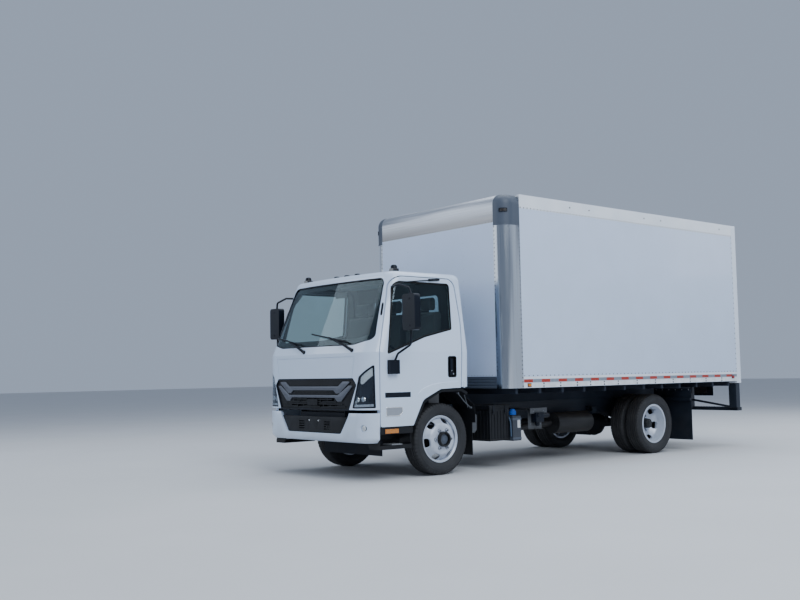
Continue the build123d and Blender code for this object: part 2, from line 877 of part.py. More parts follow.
lid_seams = []
for side in (-1, 1):
    lid_seams.append((
        (side * lid_half_bottom, 1090), (side * (lid_half_bottom + seam_width), 1090),
        (side * (lid_half_top + seam_width), lid_top), (side * lid_half_top, lid_top),
    ))
lid_seams.append((
    (-lid_half_top - seam_width, lid_top), (-lid_half_top - seam_width, lid_top + seam_width),
    (lid_half_top + seam_width, lid_top + seam_width), (lid_half_top + seam_width, lid_top),
))
seam_cutters = []
for outline in lid_seams:
    with BuildPart() as seam:
        add(cab_layer(-1, seam_depth, 1080, belt_seam))
        front_slab(outline, (-1300, -900), mode=Mode.INTERSECT)
    seam_cutters.append(seam.part)

with BuildPart() as front_panel:
    add(cab_shell)
    block((-1500, 1500), (-1500, door_front - door_gap), (panel_bottom, belt_seam),
          mode=Mode.INTERSECT)
    front_slab(grille_outline, (-1300, -800), mode=Mode.SUBTRACT)
    front_slab(headlamp_outline, (-1300, -800), mode=Mode.SUBTRACT)
    front_slab([(-x, z, r) for x, z, r in headlamp_outline], (-1300, -800), mode=Mode.SUBTRACT)
    # Shallow seams around the lid above the grille
    add(seam_cutters, mode=Mode.SUBTRACT)
keep(front_panel, "front_panel")

with BuildPart() as cab_sides:
    add(cab_shell)
    block((-1500, 1500), (-1500, 1500), (door_bottom, roof_seam), mode=Mode.INTERSECT)
    block((-1500, 1500), (-1500, door_front - door_gap), (door_bottom, belt_seam),
          mode=Mode.SUBTRACT)
    block((-900, 900), (cab_back_inner, 600), (door_bottom, roof_seam), mode=Mode.SUBTRACT)
    block((-1500, 1500), (-520, 600), (door_bottom - 5, cab_side_bottom), mode=Mode.SUBTRACT)
    side_slab(door_opening, (700, 1500), mode=Mode.SUBTRACT)
    side_slab(door_opening, (-1500, -700), mode=Mode.SUBTRACT)
keep(cab_sides, "cab_sides")

cab_inside = cab_form(cab_wall + seat_gap, door_bottom + 5, 1500)
with BuildPart() as cab_floor:
    side_slab(
        (
            (-1060, low_floor - floor_thickness), (floor_step, low_floor - floor_thickness),
            (floor_step, high_floor - floor_thickness),
            (cab_back_inner + 30, high_floor - floor_thickness), (cab_back_inner + 30, high_floor),
            (floor_step - 40, high_floor), (floor_step - 40, low_floor), (-1060, low_floor),
        ),
        (-floor_half_width, floor_half_width),
    )
    add(cab_inside, mode=Mode.INTERSECT)
keep(cab_floor, "cab_floor")

glass_layer = cab_layer(glass_inset, glass_thickness, door_bottom, roof_top - cab_wall - 10)
windscreen_space = front_space((windscreen_outline,), (-1200, -600))
rear_window_space = front_space((rear_window_outline,), (200, 500))
with BuildPart() as cab_windows:
    add(glass_layer)
    add([windscreen_space, rear_window_space], mode=Mode.INTERSECT)
keep(cab_windows, "cab_windows")

grille_layer = cab_layer(grille_recess, cab_wall - grille_recess, grille_bottom, 1200)
grille_space = front_space((grille_outline,), (-1300, -800))
with BuildPart() as grille:
    add(grille_layer)
    add(grille_space, mode=Mode.INTERSECT)
    # Upper slot and two rows of lower slots behind the bright bars
    front_slab(((-230, 975), (-250, 1005), (250, 1005), (230, 975)), (-1300, -800),
               mode=Mode.SUBTRACT)
    for row, (low, half, count) in enumerate(((850, 400, 6), (790, 450, 7))):
        pitch = 2 * half / count
        for slot in range(count):
            start = -half + slot * pitch
            block((start + 8, start + pitch - 8), (-1300, -800), (low, low + 34),
                  mode=Mode.SUBTRACT)
keep(grille, "grille")

bar_layer = cab_layer(-grille_bar_lift, grille_bar_lift + grille_recess, 800, 1100)
bar_outlines = [half + tuple((-x, z, r) for x, z, r in reversed(half)) for half in (upper_bar, lower_bar)]
with BuildPart() as grille_bars:
    add(bar_layer)
    add(front_space([tuple(dict.fromkeys(outline)) for outline in bar_outlines], (-1300, -800)),
        mode=Mode.INTERSECT)
keep(grille_bars, "grille_bars")

right_headlamp_outline = [(-x, z, r) for x, z, r in headlamp_outline]
lamp_layer = cab_layer(headlamp_recess, cab_wall - headlamp_recess, 760, 1300)
lamp_space = front_space((headlamp_outline, right_headlamp_outline), (-1300, door_front - door_gap))
with BuildPart() as headlamps:
    add(lamp_layer)
    add(lamp_space, mode=Mode.INTERSECT)
keep(headlamps, "headlamps")

bumper_sections = (
    (bumper_bottom - 60, 1020, -bumper_overhang, 14, 240, 345),
    (bumper_top + 100, 1032, -bumper_overhang, 14, 245, 348),
)
bumper_outside = cab_form(0, bumper_bottom, bumper_top, bumper_sections)
bumper_inside = cab_form(bumper_wall, bumper_bottom - 1, bumper_top + 1, bumper_sections)
with BuildPart() as bumper:
    add(bumper_outside)
    chamfer(bumper.edges().group_by(Axis.Z)[0], bumper_chamfer)
    add(bumper_inside, mode=Mode.SUBTRACT)
    block((-1500, 1500), (-1500, door_front - door_gap), (bumper_bottom, bumper_top),
          mode=Mode.INTERSECT)
    front_slab(bumper_opening, (-1300, -900), mode=Mode.SUBTRACT)
    for side in (-1, 1):
        bar((side * 884, -1150, 565), (side * 884, -1055, 565), 38, mode=Mode.SUBTRACT)
keep(bumper, "bumper")

insert_layer = cab_layer(insert_recess, insert_thickness, 480, 676, bumper_sections)
insert_space = front_space((bumper_opening,), (-1300, -900))
with BuildPart() as bumper_insert:
    add(insert_layer)
    add(insert_space, mode=Mode.INTERSECT)
    for side in (-1, 1):
        bar((side * plate_hole_spacing / 2, -1200, plate_hole_height),
            (side * plate_hole_spacing / 2, -900, plate_hole_height), plate_hole_radius,
            mode=Mode.SUBTRACT)
        for row in range(4):
            low = 535 + row * 26
            block((side * 190, side * 300), (-1200, -900), (low, low + 12), mode=Mode.SUBTRACT)
keep(bumper_insert, "bumper_insert")

mirror_seat = cab_form(-seat_gap, 1100, 2150)
for name, side in (("left", 1), ("right", -1)):
    door_space = side_space(door_outline, (side * 700, side * 1500))
    with BuildPart() as door:
        add(cab_skin.part)
        add(cab_hollow, mode=Mode.SUBTRACT)
        add(door_space, mode=Mode.INTERSECT)
        side_slab(window_outline, (side * 700, side * 1500), mode=Mode.SUBTRACT)
        # Recess with the pull handle
        block((side * handle_recess_x, side * 1100), handle_recess_y, handle_recess_z, mode=Mode.SUBTRACT)
        block((side * handle_recess_x, side * (handle_recess_x + 26)), (70, 100), (1150, 1290))
        block((side * handle_recess_x, side * (handle_recess_x + 20)), (62, 126), (1112, 1138))
    keep(door, f"door_{name}")

    pane_space = side_space(window_outline, (side * 700, side * 1500))
    with BuildPart() as door_glass:
        add(glass_layer)
        add(pane_space, mode=Mode.INTERSECT)
    keep(door_glass, f"door_glass_{name}")

    with BuildPart() as mirror_piece:
        front_slab([(side * x, z, r) for x, z, r in mirror_head], mirror_head_y)
        for arm in (mirror_upper_arm, mirror_lower_arm):
            bent_bar([(side * x, y, z) for x, y, z in arm], mirror_arm_bend, mirror_arm_radius)
        block((side * 1020, side * 1090), (-848, -716), (1134, 1284))
        add(mirror_seat, mode=Mode.SUBTRACT)
    keep(mirror_piece, f"mirror_{name}")

wheel_centre_x = 540
wheel_centre_y = -560
wheel_centre_z = 1440
column_lean = radians(28)
column = (0, -sin(column_lean), -cos(column_lean))
steering_rim_radius = 205
steering_pin_radius = 12
with BuildPart() as dashboard:
    side_slab(((-1040, 1060, 0), (-1040, 1395, 0), (-960, 1420, 60), (-760, 1400, 60),
               (-700, 1300, 60), (-760, 1060, 40)), (-dash_half_width, dash_half_width))
    hub_back = 70
    column_start = tuple(c + s * hub_back for c, s in
                         zip((wheel_centre_x, wheel_centre_y, wheel_centre_z), column))
    column_end = tuple(c + s * 640 for c, s in
                       zip((wheel_centre_x, wheel_centre_y, wheel_centre_z), column))
    bar(column_start, column_end, 48)
    add(cab_inside, mode=Mode.INTERSECT)
    block((-1500, 1500), (-1500, 500), (low_floor + seat_gap, 1600), mode=Mode.INTERSECT)
    bar((wheel_centre_x, wheel_centre_y, wheel_centre_z),
        tuple(c + s * 300 for c, s in
              zip((wheel_centre_x, wheel_centre_y, wheel_centre_z), column)),
        steering_pin_radius + running_gap, mode=Mode.SUBTRACT)
keep(dashboard, "dashboard")

steering_plane = Plane(
    origin=(wheel_centre_x, front_axle_y + wheel_centre_y, wheel_centre_z),
    x_dir=(1, 0, 0),
    z_dir=(0, sin(column_lean), cos(column_lean)),
)
with BuildPart() as steering_wheel:
    with BuildSketch(Plane(origin=steering_plane.from_local_coords((steering_rim_radius, 0, 0)),
                           x_dir=(1, 0, 0), z_dir=steering_plane.y_dir)) as rim_section:
        Circle(15)
    revolve(rim_section.sketch, axis=Axis(steering_plane.origin, steering_plane.z_dir))
    with BuildSketch(steering_plane.offset(-8)) as spokes:
        for turn in (0, 180, 270):
            with Locations(Location((0, 0), turn)):
                with Locations((steering_rim_radius / 2, 0)):
                    Rectangle(steering_rim_radius, 34)
        Circle(62)
    extrude(spokes.sketch, amount=16)
    with BuildSketch(steering_plane.offset(-60)) as hub:
        Circle(36)
    extrude(hub.sketch, amount=60)
    with BuildSketch(steering_plane.offset(-160)) as pin:
        Circle(steering_pin_radius)
    extrude(pin.sketch, amount=120)
keep(steering_wheel, "steering_wheel")

with BuildPart() as seats:
    for left, right in seat_places:
        middle = (left + right) / 2
        block((left, right), (-440, 120), (high_floor + seat_gap, 1120))
        side_slab(((-460, 1110, 30), (-460, seat_cushion_top - 30, 40), (-60, seat_cushion_top - 60, 60),
                   (120, seat_cushion_top - 60, 0), (120, 1110, 0)), (left + 20, right - 20))
        side_slab(((-10, 1140, 30), (70, 1840, 50), (180, 1840, 40), (150, 1140, 30)),
                  (left + 25, right - 25))
        side_slab(((85, 1865, 30), (100, 2010, 40), (185, 2010, 40), (180, 1865, 30)),
                  (middle - 130, middle + 130))
        block((middle - 60, middle + 60), (120, 150), (1830, 1880))
keep(seats, "seats")

with BuildPart() as steps:
    for side in (-1, 1):
        # Upper board, riser and tread, held by an end plate at each end
        block((side * step_inner, side * step_outer), (step_front, step_rear),
              (board_bottom, door_bottom - door_gap))
        block((side * step_inner, side * (step_inner + step_plate)), (step_front, step_rear),
              (board_bottom - 67, board_bottom))
        block((side * (step_inner + 20), side * (step_outer - 18)), (step_front, step_rear),
              (tread_bottom, tread_top))
        for end in (step_front, step_rear - step_plate):
            block((side * step_inner, side * (step_outer - 28)), (end, end + step_plate),
                  (tread_top - 20, board_bottom))
keep(steps, "steps")

with BuildPart() as arch_liners:
    for side in (-1, 1):
        # Front wall, arch and rear wall, then the flap that hangs from it
        side_slab(liner_outline, (side * liner_inner, side * liner_outer))
        block((side * liner_inner, side * flap_outer), (505 - flap_thickness, 505),
              (flap_bottom, liner_rear_bottom))
        # Band along the edge of the wheel arch
        side_slab(band_outline, (side * band_inner, side * band_outer))
keep(arch_liners, "arch_liners")


# Load body

def corner_block(inset, low, high, round_top):
    """Rounded front corner of the load body on the left, drawn in by an inset."""
    with BuildPart() as corner:
        block((post_front_edge - 400, body_half_width - inset), (body_front + inset, post_side_edge + 400),
              (low, high - inset if round_top else high))
        edge = corner.edges().filter_by(Axis.Z).sort_by(Axis.Y)[:2].sort_by(Axis.X)[-1]
        fillet(edge, post_radius - inset)
        if round_top:
            top = corner.faces().sort_by(Axis.Z)[-1]
            rim = top.edges().filter_by(
                lambda e: not (e.geom_type == GeomType.LINE
                               and (abs(e.center().X - post_front_edge + 400) < 1
                                    or abs(e.center().Y - front_axle_y - post_side_edge - 400) < 1)))
            fillet(rim, casting_round - inset)
    return corner.part


def corner_shell(low, high, round_top):
    """Rounded corner piece with the body's wall thickness, between its two flange edges."""
    outside = corner_block(0, low, high, round_top)
    inside = corner_block(body_wall, low - 1, high if round_top else high + 1, round_top)
    with BuildPart() as shell:
        add(outside)
        add(inside, mode=Mode.SUBTRACT)
        block((post_front_edge, body_half_width), (body_front, post_side_edge), (low, high),
              mode=Mode.INTERSECT)
    return shell.part


post_shell = corner_shell(body_bottom, casting_bottom, False)
with BuildPart() as corner_posts:
    add(post_shell)
    mirror(about=Plane.YZ)
keep(corner_posts, "corner_posts")

casting_shell = corner_shell(casting_bottom, body_top, True)
with BuildPart() as corner_castings:
    add(casting_shell)
    mirror(about=Plane.YZ)
keep(corner_castings, "corner_castings")

with BuildPart() as front_sill:
    block((-post_front_edge, post_front_edge), (body_front + 6, body_front + body_wall),
          (body_bottom, front_sill_top))
    for rib in range(4):
        low = body_bottom + 8 + rib * 34
        block((-post_front_edge, post_front_edge), (body_front, body_front + 6), (low, low + 20))
keep(front_sill, "front_sill")

with BuildPart() as body_walls:
    block((-post_front_edge, post_front_edge), (body_front, body_front + body_wall),
          (front_sill_top, front_rail_bottom))
    for side in (-1, 1):
        block((side * (body_half_width - body_wall), side * body_half_width),
              (post_side_edge, rear_frame_front), (bottom_rail_top, top_rail_bottom))
keep(body_walls, "body_walls")

with BuildPart() as body_rails:
    for side in (-1, 1):
        for rail in ((body_bottom, bottom_rail_top), (top_rail_bottom, body_top)):
            block((side * (body_half_width - body_wall), side * body_half_width),
                  (post_side_edge, rear_frame_front), rail)
    # Rounded front rail between the castings
    side_slab(
        (
            (body_front, front_rail_bottom, 0),
            (body_front, body_top, casting_round),
            (post_side_edge, body_top, 0),
            (post_side_edge, body_top - body_wall, 0),
            (body_front + body_wall, body_top - body_wall, casting_round - body_wall),
            (body_front + body_wall, front_rail_bottom, 0),
        ),
        (-post_front_edge, post_front_edge),
    )
keep(body_rails, "body_rails")

with BuildPart() as roof_panel:
    block((body_wall - body_half_width, body_half_width - body_wall),
          (post_side_edge, rear_frame_front), (body_top - body_wall, body_top - body_wall + roof_thickness))
keep(roof_panel, "roof_panel")

deck_low = floor_top - deck_thickness
with BuildPart() as load_floor:
    deck_half = body_half_width - body_wall
    inner_corner = post_radius - body_wall
    deck_front = body_front + body_wall
    level_slab(
        (
            (-deck_half, deck_front, inner_corner + 2), (deck_half, deck_front, inner_corner + 2),
            (deck_half, rear_frame_front, 0), (-deck_half, rear_frame_front, 0),
        ),
        (deck_low, floor_top),
    )
keep(load_floor, "load_floor")

with BuildPart() as floor_sills:
    # Long sills on the rails, and cross sills between them and the deck
    for side in (-1, 1):
        block((side * (sill_half_spacing - sill_width / 2), side * (sill_half_spacing + sill_width / 2)),
              (deck_front, rear_frame_front), (rail_top, deck_low - sill_height - seat_gap))
    sills_front = deck_front + inner_corner + 5
    sills = int((rear_frame_front - sills_front - cross_sill_width) / cross_sill_pitch)
    for sill in range(sills + 1):
        start = sills_front + sill * cross_sill_pitch
        block((-deck_half, deck_half), (start, start + cross_sill_width), (deck_low - sill_height, deck_low))
keep(floor_sills, "floor_sills")

with BuildPart() as rear_frame:
    for side in (-1, 1):
        block((side * (body_half_width - rear_post_width), side * body_half_width),
              (rear_frame_front, body_rear), (body_bottom, body_top))
    block((-body_half_width, body_half_width), (rear_frame_front, body_rear), (header_bottom, body_top))
    block((-body_half_width, body_half_width), (rear_frame_front, body_rear), (body_bottom - 30, floor_top))
keep(rear_frame, "rear_frame")

with BuildPart() as roller_door:
    half = body_half_width - rear_post_width
    block((-half, half), (roller_door_y, roller_door_y + roller_door_thickness), (floor_top, header_bottom))
    panel_height = (header_bottom - floor_top) / door_panel_count
    for seam in range(1, door_panel_count):
        level = floor_top + seam * panel_height
        block((-half, half), (roller_door_y + roller_door_thickness - panel_groove,
                              roller_door_y + roller_door_thickness + 5),
              (level - 4, level + 4), mode=Mode.SUBTRACT)
    # Latch plate and grab handle on the lowest panel
    block((-90, 90), (roller_door_y + roller_door_thickness, roller_door_y + roller_door_thickness + 22),
          (floor_top + 60, floor_top + 200))
keep(roller_door, "roller_door")

with BuildPart() as rear_bumper:
    block((-step_half_width, step_half_width), (body_rear + step_reach - step_depth, body_rear + step_reach),
          (step_bottom, step_bottom + step_height))
    for side in (-1, 1):
        block((side * outer_post_x[0], side * outer_post_x[1]), (rear_frame_front + 5, body_rear - 5),
              (step_bottom + step_height, body_bottom - 30))
        block((side * inner_post_x, side * rail_outer_x), (body_rear - 72, body_rear - 12),
              (step_bottom + step_height, body_bottom - 30))
        bar((side * (rail_outer_x - 5), brace_y, 660), (side * (outer_post_x[0] + 10), brace_y, 560),
            brace_radius)
keep(rear_bumper, "rear_bumper")

with BuildPart() as mud_flaps:
    for side in (-1, 1):
        block((side * mud_flap_x[0], side * mud_flap_x[1]), (flap_y, flap_y + 8), mud_flap_z)
        block((side * rail_outer_x, side * mud_flap_x[1]), (flap_y - 30, flap_y), (690, 730))
        # Hanger of the guard ahead of the front axle
        block((side * rail_outer_x, side * (rail_outer_x + 12)), (guard_y[0], guard_y[0] + 30),
              (guard_top - 10, 600))
    block((-guard_half_width, guard_half_width), guard_y, (guard_bottom, guard_top))
keep(mud_flaps, "mud_flaps")

with BuildPart() as lamps:
    for side in (-1, 1):
        # Side markers, tail lamps with their hangers, and the cab's roof corner lamps
        for marker_y, marker_z in ((front_marker_y, (960, 990)), (rear_marker_y, (990, 1018))):
            block((side * body_half_width, side * (body_half_width + 12)),
                  (marker_y - side_marker_size / 2, marker_y + side_marker_size / 2), marker_z)
        block((side * tail_lamp_x[0], side * tail_lamp_x[1]), (rear_frame_front + 8, body_rear - 20),
              tail_lamp_z)
        block((side * (tail_lamp_x[0] + 80), side * (tail_lamp_x[1] - 80)),
              (rear_frame_front + 20, body_rear - 40), (tail_lamp_z[1], body_bottom - 30))
        block((side * roof_lamp_x[0], side * roof_lamp_x[1]), roof_lamp_y,
              (roof_top, roof_top + roof_lamp_height))
    for place in rear_marker_places:
        block((place - 45, place + 45), (body_rear, body_rear + 14), rear_marker_z)
keep(lamps, "lamps")
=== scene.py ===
"""Looks of a cab-over box truck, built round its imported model.

Metres. X points to the truck's left, Y to its rear and Z up, with the ground at zero.
Layout and meshes count Y from the front axle, and piece() moves them into the truck's frame.
"""

from math import cos, pi, radians, sin, sqrt

import bmesh
import bpy
from mathutils import Matrix, Vector


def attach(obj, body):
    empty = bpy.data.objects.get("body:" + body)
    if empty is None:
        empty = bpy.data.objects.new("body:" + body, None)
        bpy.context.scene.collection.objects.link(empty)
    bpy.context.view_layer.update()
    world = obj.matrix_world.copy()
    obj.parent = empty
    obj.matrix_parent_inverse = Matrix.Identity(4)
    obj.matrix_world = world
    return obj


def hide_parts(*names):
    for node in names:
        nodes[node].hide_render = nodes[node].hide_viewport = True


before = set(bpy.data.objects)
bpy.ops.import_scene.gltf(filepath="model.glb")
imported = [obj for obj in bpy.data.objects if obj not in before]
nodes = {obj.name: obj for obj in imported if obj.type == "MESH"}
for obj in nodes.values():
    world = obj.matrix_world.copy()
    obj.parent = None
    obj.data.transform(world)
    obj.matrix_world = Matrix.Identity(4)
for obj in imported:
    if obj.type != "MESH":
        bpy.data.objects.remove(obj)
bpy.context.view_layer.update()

# Layout, as in the part's source
AXLE_Y = -2.351
AXLE_HEIGHT = 0.4
WHEELBASE = 3.81
BODY_FRONT = 0.792
BODY_REAR = 5.722
BODY_HALF = 1.219
BODY_TOP = 3.235
REAR_FRAME = 5.615
POST_BACK = 1.057
POST_INNER = 1.04
DOOR_BACK = 5.655

# Cab form: height, half width, front, bow, corner radius
CAB_SECTIONS = (
    (0.577, 1.03, -1.096, 0.014, 0.245),
    (1.37, 1.042, -1.088, 0.022, 0.245),
    (2.262, 0.962, -0.748, 0.06, 0.15),
)
BUMPER_SECTIONS = ((0.347, 1.02, -1.1, 0.014, 0.24), (0.823, 1.032, -1.1, 0.014, 0.245))

SIDES = (-1, 1)
NAMED_SIDES = (("left", 1), ("right", -1))


# Shader maths

class Wire:
    """A socket of a material; arithmetic on it adds Math nodes."""

    def __init__(self, finish, socket):
        self.finish = finish
        self.socket = socket

    def maths(self, operation, *others):
        return self.finish.maths(operation, self, *others)

    def __add__(self, other):
        return self.maths("ADD", other)

    __radd__ = __add__

    def __sub__(self, other):
        return self.maths("SUBTRACT", other)

    def __rsub__(self, other):
        return self.finish.maths("SUBTRACT", other, self)

    def __mul__(self, other):
        return self.maths("MULTIPLY", other)

    def __truediv__(self, other):
        return self.maths("DIVIDE", other)

    def __pow__(self, other):
        return self.maths("POWER", other)

    def above(self, level):
        return self.maths("GREATER_THAN", level)

    def below(self, level):
        return self.maths("LESS_THAN", level)

    def ramp(self, start, end, low=0.0, high=1.0):
        """Smooth change from low at start to high at end."""
        return self.finish.node("ShaderNodeMapRange", {"interpolation_type": "SMOOTHSTEP", "clamp": True},
                                {0: self, 1: start, 2: end, 3: low, 4: high})


class Finish:
    """A material with one glossy shader, and one method that adds any other node."""

    def __init__(self, name, colour, roughness, **fixed):
        self.material = bpy.data.materials.new(name)
        self.material.use_nodes = True
        self.tree = self.material.node_tree
        self.shader = self.tree.nodes["Principled BSDF"]
        self.feed("Base Color", colour)
        self.feed("Roughness", roughness)
        for label, value in fixed.items():
            self.feed(label.replace("_", " "), value)

    def plug(self, socket, value):
        if isinstance(value, Wire):
            self.tree.links.new(value.socket, socket)
        elif socket.type == "RGBA":
            socket.default_value = (*value, 1.0)
        else:
            socket.default_value = value

    def feed(self, label, value):
        self.plug(self.shader.inputs[label], value)

    def node(self, kind, settings, sockets, output=0):
        """Adds a node: first its settings, then the values or links of its sockets."""
        made = self.tree.nodes.new(kind)
        for name, value in settings.items():
            setattr(made, name, value)
        for key, value in sockets.items():
            self.plug(made.inputs[key], value)
        return Wire(self, made.outputs[output])

    def maths(self, operation, *values):
        return self.node("ShaderNodeMath", {"operation": operation}, dict(enumerate(values)))

    def place(self):
        """Position on the piece in metres, in the truck's own frame."""
        return self.node("ShaderNodeTexCoord", {}, {}, "Object")

    def axes(self):
        first = self.node("ShaderNodeSeparateXYZ", {}, {0: self.place()})
        return [Wire(self, output) for output in first.socket.node.outputs]

    def noise(self, scale, detail=3.0, stretch=(1.0, 1.0, 1.0)):
        """Clouds, with the position scaled by its own factor along each axis."""
        place = self.node("ShaderNodeVectorMath", {"operation": "MULTIPLY"}, {0: self.place(), 1: stretch})
        return self.node("ShaderNodeTexNoise", {}, {"Vector": place, "Scale": scale, "Detail": detail})

    def bands(self, direction, scale):
        return self.node("ShaderNodeTexWave", {"wave_type": "BANDS", "bands_direction": direction},
                         {"Scale": scale}, 1)

    def mix(self, share, first, second):
        """Colour between two others."""
        return self.node("ShaderNodeMix", {"data_type": "RGBA"}, {0: share, 6: first, 7: second}, 2)

    def varied(self, pattern, first, second, end=0.7):
        """Colour that a pattern moves from one to another."""
        return self.mix(pattern.ramp(0.3, end), first, second)

    def bump(self, height, strength, distance):
        self.feed("Normal", self.node("ShaderNodeBump", {}, {
            "Height": height, "Strength": strength, "Distance": distance}))


def tone(colour, factor):
    """Colour made lighter or darker by a factor."""
    return tuple(channel * factor for channel in colour)


DUST = (0.36, 0.33, 0.29)


def road_dust(finish, colour, start, end, amount):
    """Colour with road dust that grows from the start height down to the end height."""
    height = finish.axes()[2]
    patches = finish.noise(6.0, 6.0).ramp(0.35, 0.75, 0.35, 1.0)
    share = height.ramp(end, start, amount, 0.0) * patches
    finish.feed("Base Color", finish.mix(share, colour, DUST))
    return share


def painted(name, colour, roughness, grain=900.0, depth=0.00012, dust=0.0, reach=0.9, coat=0.0,
            metallic=0.0, shade=0.05, gloss=0.5):
    """Sprayed paint: small changes of shade, orange peel, and dust low down."""
    finish = Finish(name, colour, roughness, Coat_Weight=coat, Coat_Roughness=0.06,
                    Metallic=metallic, Specular_IOR_Level=gloss)
    base = finish.varied(finish.noise(2.2, 4.0), tone(colour, 1 - shade), tone(colour, 1 + shade))
    if dust:
        share = road_dust(finish, base, reach, 0.15, dust)
        finish.feed("Roughness", roughness + share * 0.4)
    else:
        finish.feed("Base Color", base)
        finish.feed("Roughness", roughness + (finish.noise(14.0, 5.0) - 0.5) * 0.08)
    finish.bump(finish.noise(grain, 2.0), 0.25, depth)
    return finish.material


def moulded(name, colour, roughness, grain=650.0, depth=0.0004, dust=0.03):
    """Moulded plastic or rubber with a leather-like grain."""
    finish = Finish(name, colour, roughness, Specular_IOR_Level=0.2)
    cells = finish.node("ShaderNodeTexVoronoi", {"feature": "F1"},
                        {"Vector": finish.place(), "Scale": grain})
    clouds = finish.noise(5.0, 5.0)
    base = finish.varied(clouds, tone(colour, 0.85), tone(colour, 1.25), 0.75)
    share = road_dust(finish, base, 1.0, 0.1, dust)
    finish.feed("Roughness", roughness + share * 0.3 + (clouds - 0.5) * 0.1)
    finish.bump(cells, 0.3, depth)
    return finish.material


def rolled(name, colour, roughness, stretch, metallic=1.0, streak=0.35):
    """Bright sheet metal with streaks along its rolling direction."""
    finish = Finish(name, colour, roughness, Metallic=metallic)
    lines = finish.noise(60.0, 4.0, stretch)
    clouds = finish.noise(3.0, 3.0)
    finish.feed("Base Color", finish.varied(lines, tone(colour, 1 - streak), tone(colour, 1.08)))
    finish.feed("Roughness", roughness + (lines - 0.5) * 0.2 + (clouds - 0.5) * 0.16)
    finish.bump(lines, 0.2, 0.0004)
    return finish.material


def glassy(name, tint, alpha, roughness=0.02):
    """Clear pane: mostly see-through, with a gloss that grows at grazing angles."""
    finish = Finish(name, (0.5, 0.56, 0.62), roughness, Metallic=1.0)
    finish.feed("Roughness", roughness + finish.noise(3.0, 3.0).ramp(0.4, 0.9, 0.0, 0.03))
    clear = finish.node("ShaderNodeBsdfTransparent", {}, {0: tint})
    facing = finish.node("ShaderNodeLayerWeight", {}, {"Blend": 0.5}, 1)
    gloss = Wire(finish, finish.shader.outputs[0])
    blend = finish.node("ShaderNodeMixShader", {}, {0: facing ** 4.0 * 0.8 + alpha, 1: clear, 2: gloss})
    finish.plug(finish.tree.nodes["Material Output"].inputs[0], blend)
    return finish.material


def rubber(name):
    """Tyre rubber: dark, dusty where it rolls, with fine moulding marks."""
    finish = Finish(name, (0.02, 0.02, 0.02), 0.75)
    clouds = finish.noise(9.0, 6.0)
    finish.feed("Base Color", finish.mix(clouds.ramp(0.35, 0.85), (0.014, 0.0145, 0.017), (0.031, 0.031, 0.033)))
    finish.feed("Roughness", 0.68 + (clouds - 0.5) * 0.3)
    finish.bump(finish.noise(420.0, 4.0), 0.25, 0.0006)
    return finish.material


def woven(name, colour):
    """Seat cloth: crossed threads with a soft sheen."""
    finish = Finish(name, colour, 0.9, Sheen_Weight=0.25)
    threads = finish.bands("Z", 180.0) * finish.bands("X", 180.0)
    finish.feed("Base Color", finish.mix(threads, tone(colour, 0.6), tone(colour, 1.3)))
    finish.bump(threads, 0.5, 0.0008)
    return finish.material


def boarded(name):
    """Laminated deck boards, running front to back."""
    finish = Finish(name, (0.45, 0.3, 0.17), 0.55)
    gap = (finish.axes()[0] * 30.0).maths("FRACT").below(0.04)
    lines = finish.noise(30.0, 5.0, (1.0, 0.05, 1.0))
    wood = finish.varied(lines, (0.28, 0.17, 0.08), (0.52, 0.36, 0.2))
    finish.feed("Base Color", finish.mix(gap, wood, (0.08, 0.05, 0.03)))
    finish.bump(lines + gap * -1.0, 0.3, 0.001)
    return finish.material


def lens(name, colour, glow=0.0):
    """Coloured lamp lens with fine upright ribs."""
    finish = Finish(name, colour, 0.12, Coat_Weight=0.8, Emission_Strength=glow)
    ribs = finish.bands("Y", 60.0)
    shade = finish.mix(ribs, tone(colour, 0.55), colour)
    finish.feed("Base Color", shade)
    finish.feed("Emission Color", shade)
    finish.bump(ribs, 0.4, 0.001)
    return finish.material


CAB_WHITE = (0.62, 0.72, 0.87)
body_white = painted("body_white", (0.56, 0.65, 0.81), 0.42, 160.0, 0.0004, dust=0.12, reach=1.3,
                     coat=0.15, shade=0.02)
rail_white = painted("rail_white", (0.71, 0.77, 0.86), 0.35, dust=0.2, reach=1.15, shade=0.04)
roof_sheet = painted("roof_sheet", (0.72, 0.73, 0.74), 0.5, 60.0, 0.0006, shade=0.04)
frame_black = painted("frame_black", (0.018, 0.024, 0.036), 0.42, dust=0.02, shade=0.2, gloss=0.25)
sill_black = painted("sill_black", (0.02, 0.026, 0.04), 0.6, shade=0.2, gloss=0.15)
underside_black = painted("underside_black", (0.01, 0.012, 0.017), 0.55, dust=0.04, reach=0.8,
                          shade=0.2, gloss=0.2)
casting_grey = painted("casting_grey", (0.075, 0.09, 0.118), 0.4, 240.0, 0.0006, gloss=0.3)
hub_black = painted("hub_black", (0.01, 0.011, 0.013), 0.35, dust=0.04, gloss=0.3)
engine_grey = painted("engine_grey", (0.12, 0.12, 0.125), 0.6, 120.0, 0.002, dust=0.4)
bracket_grey = painted("bracket_grey", (0.055, 0.06, 0.068), 0.45, dust=0.05, shade=0.1)
stay_grey = painted("stay_grey", (0.1, 0.11, 0.125), 0.4, metallic=0.4, shade=0.1)
rail_fastener = painted("rail_fastener", (0.022, 0.024, 0.028), 0.4, shade=0.2)
grain_black = moulded("grain_black", (0.0075, 0.0085, 0.011), 0.42)
trim_black = moulded("trim_black", (0.005, 0.0075, 0.014), 0.34, 1200.0, 0.0002, 0.0)
seal_black = moulded("seal_black", (0.008, 0.008, 0.009), 0.45, 1500.0, 0.0001, 0.05)
flap_black = moulded("flap_black", (0.007, 0.011, 0.019), 0.6, 90.0, 0.001)
cabin_grey = moulded("cabin_grey", (0.045, 0.047, 0.052), 0.6, 500.0, dust=0.0)
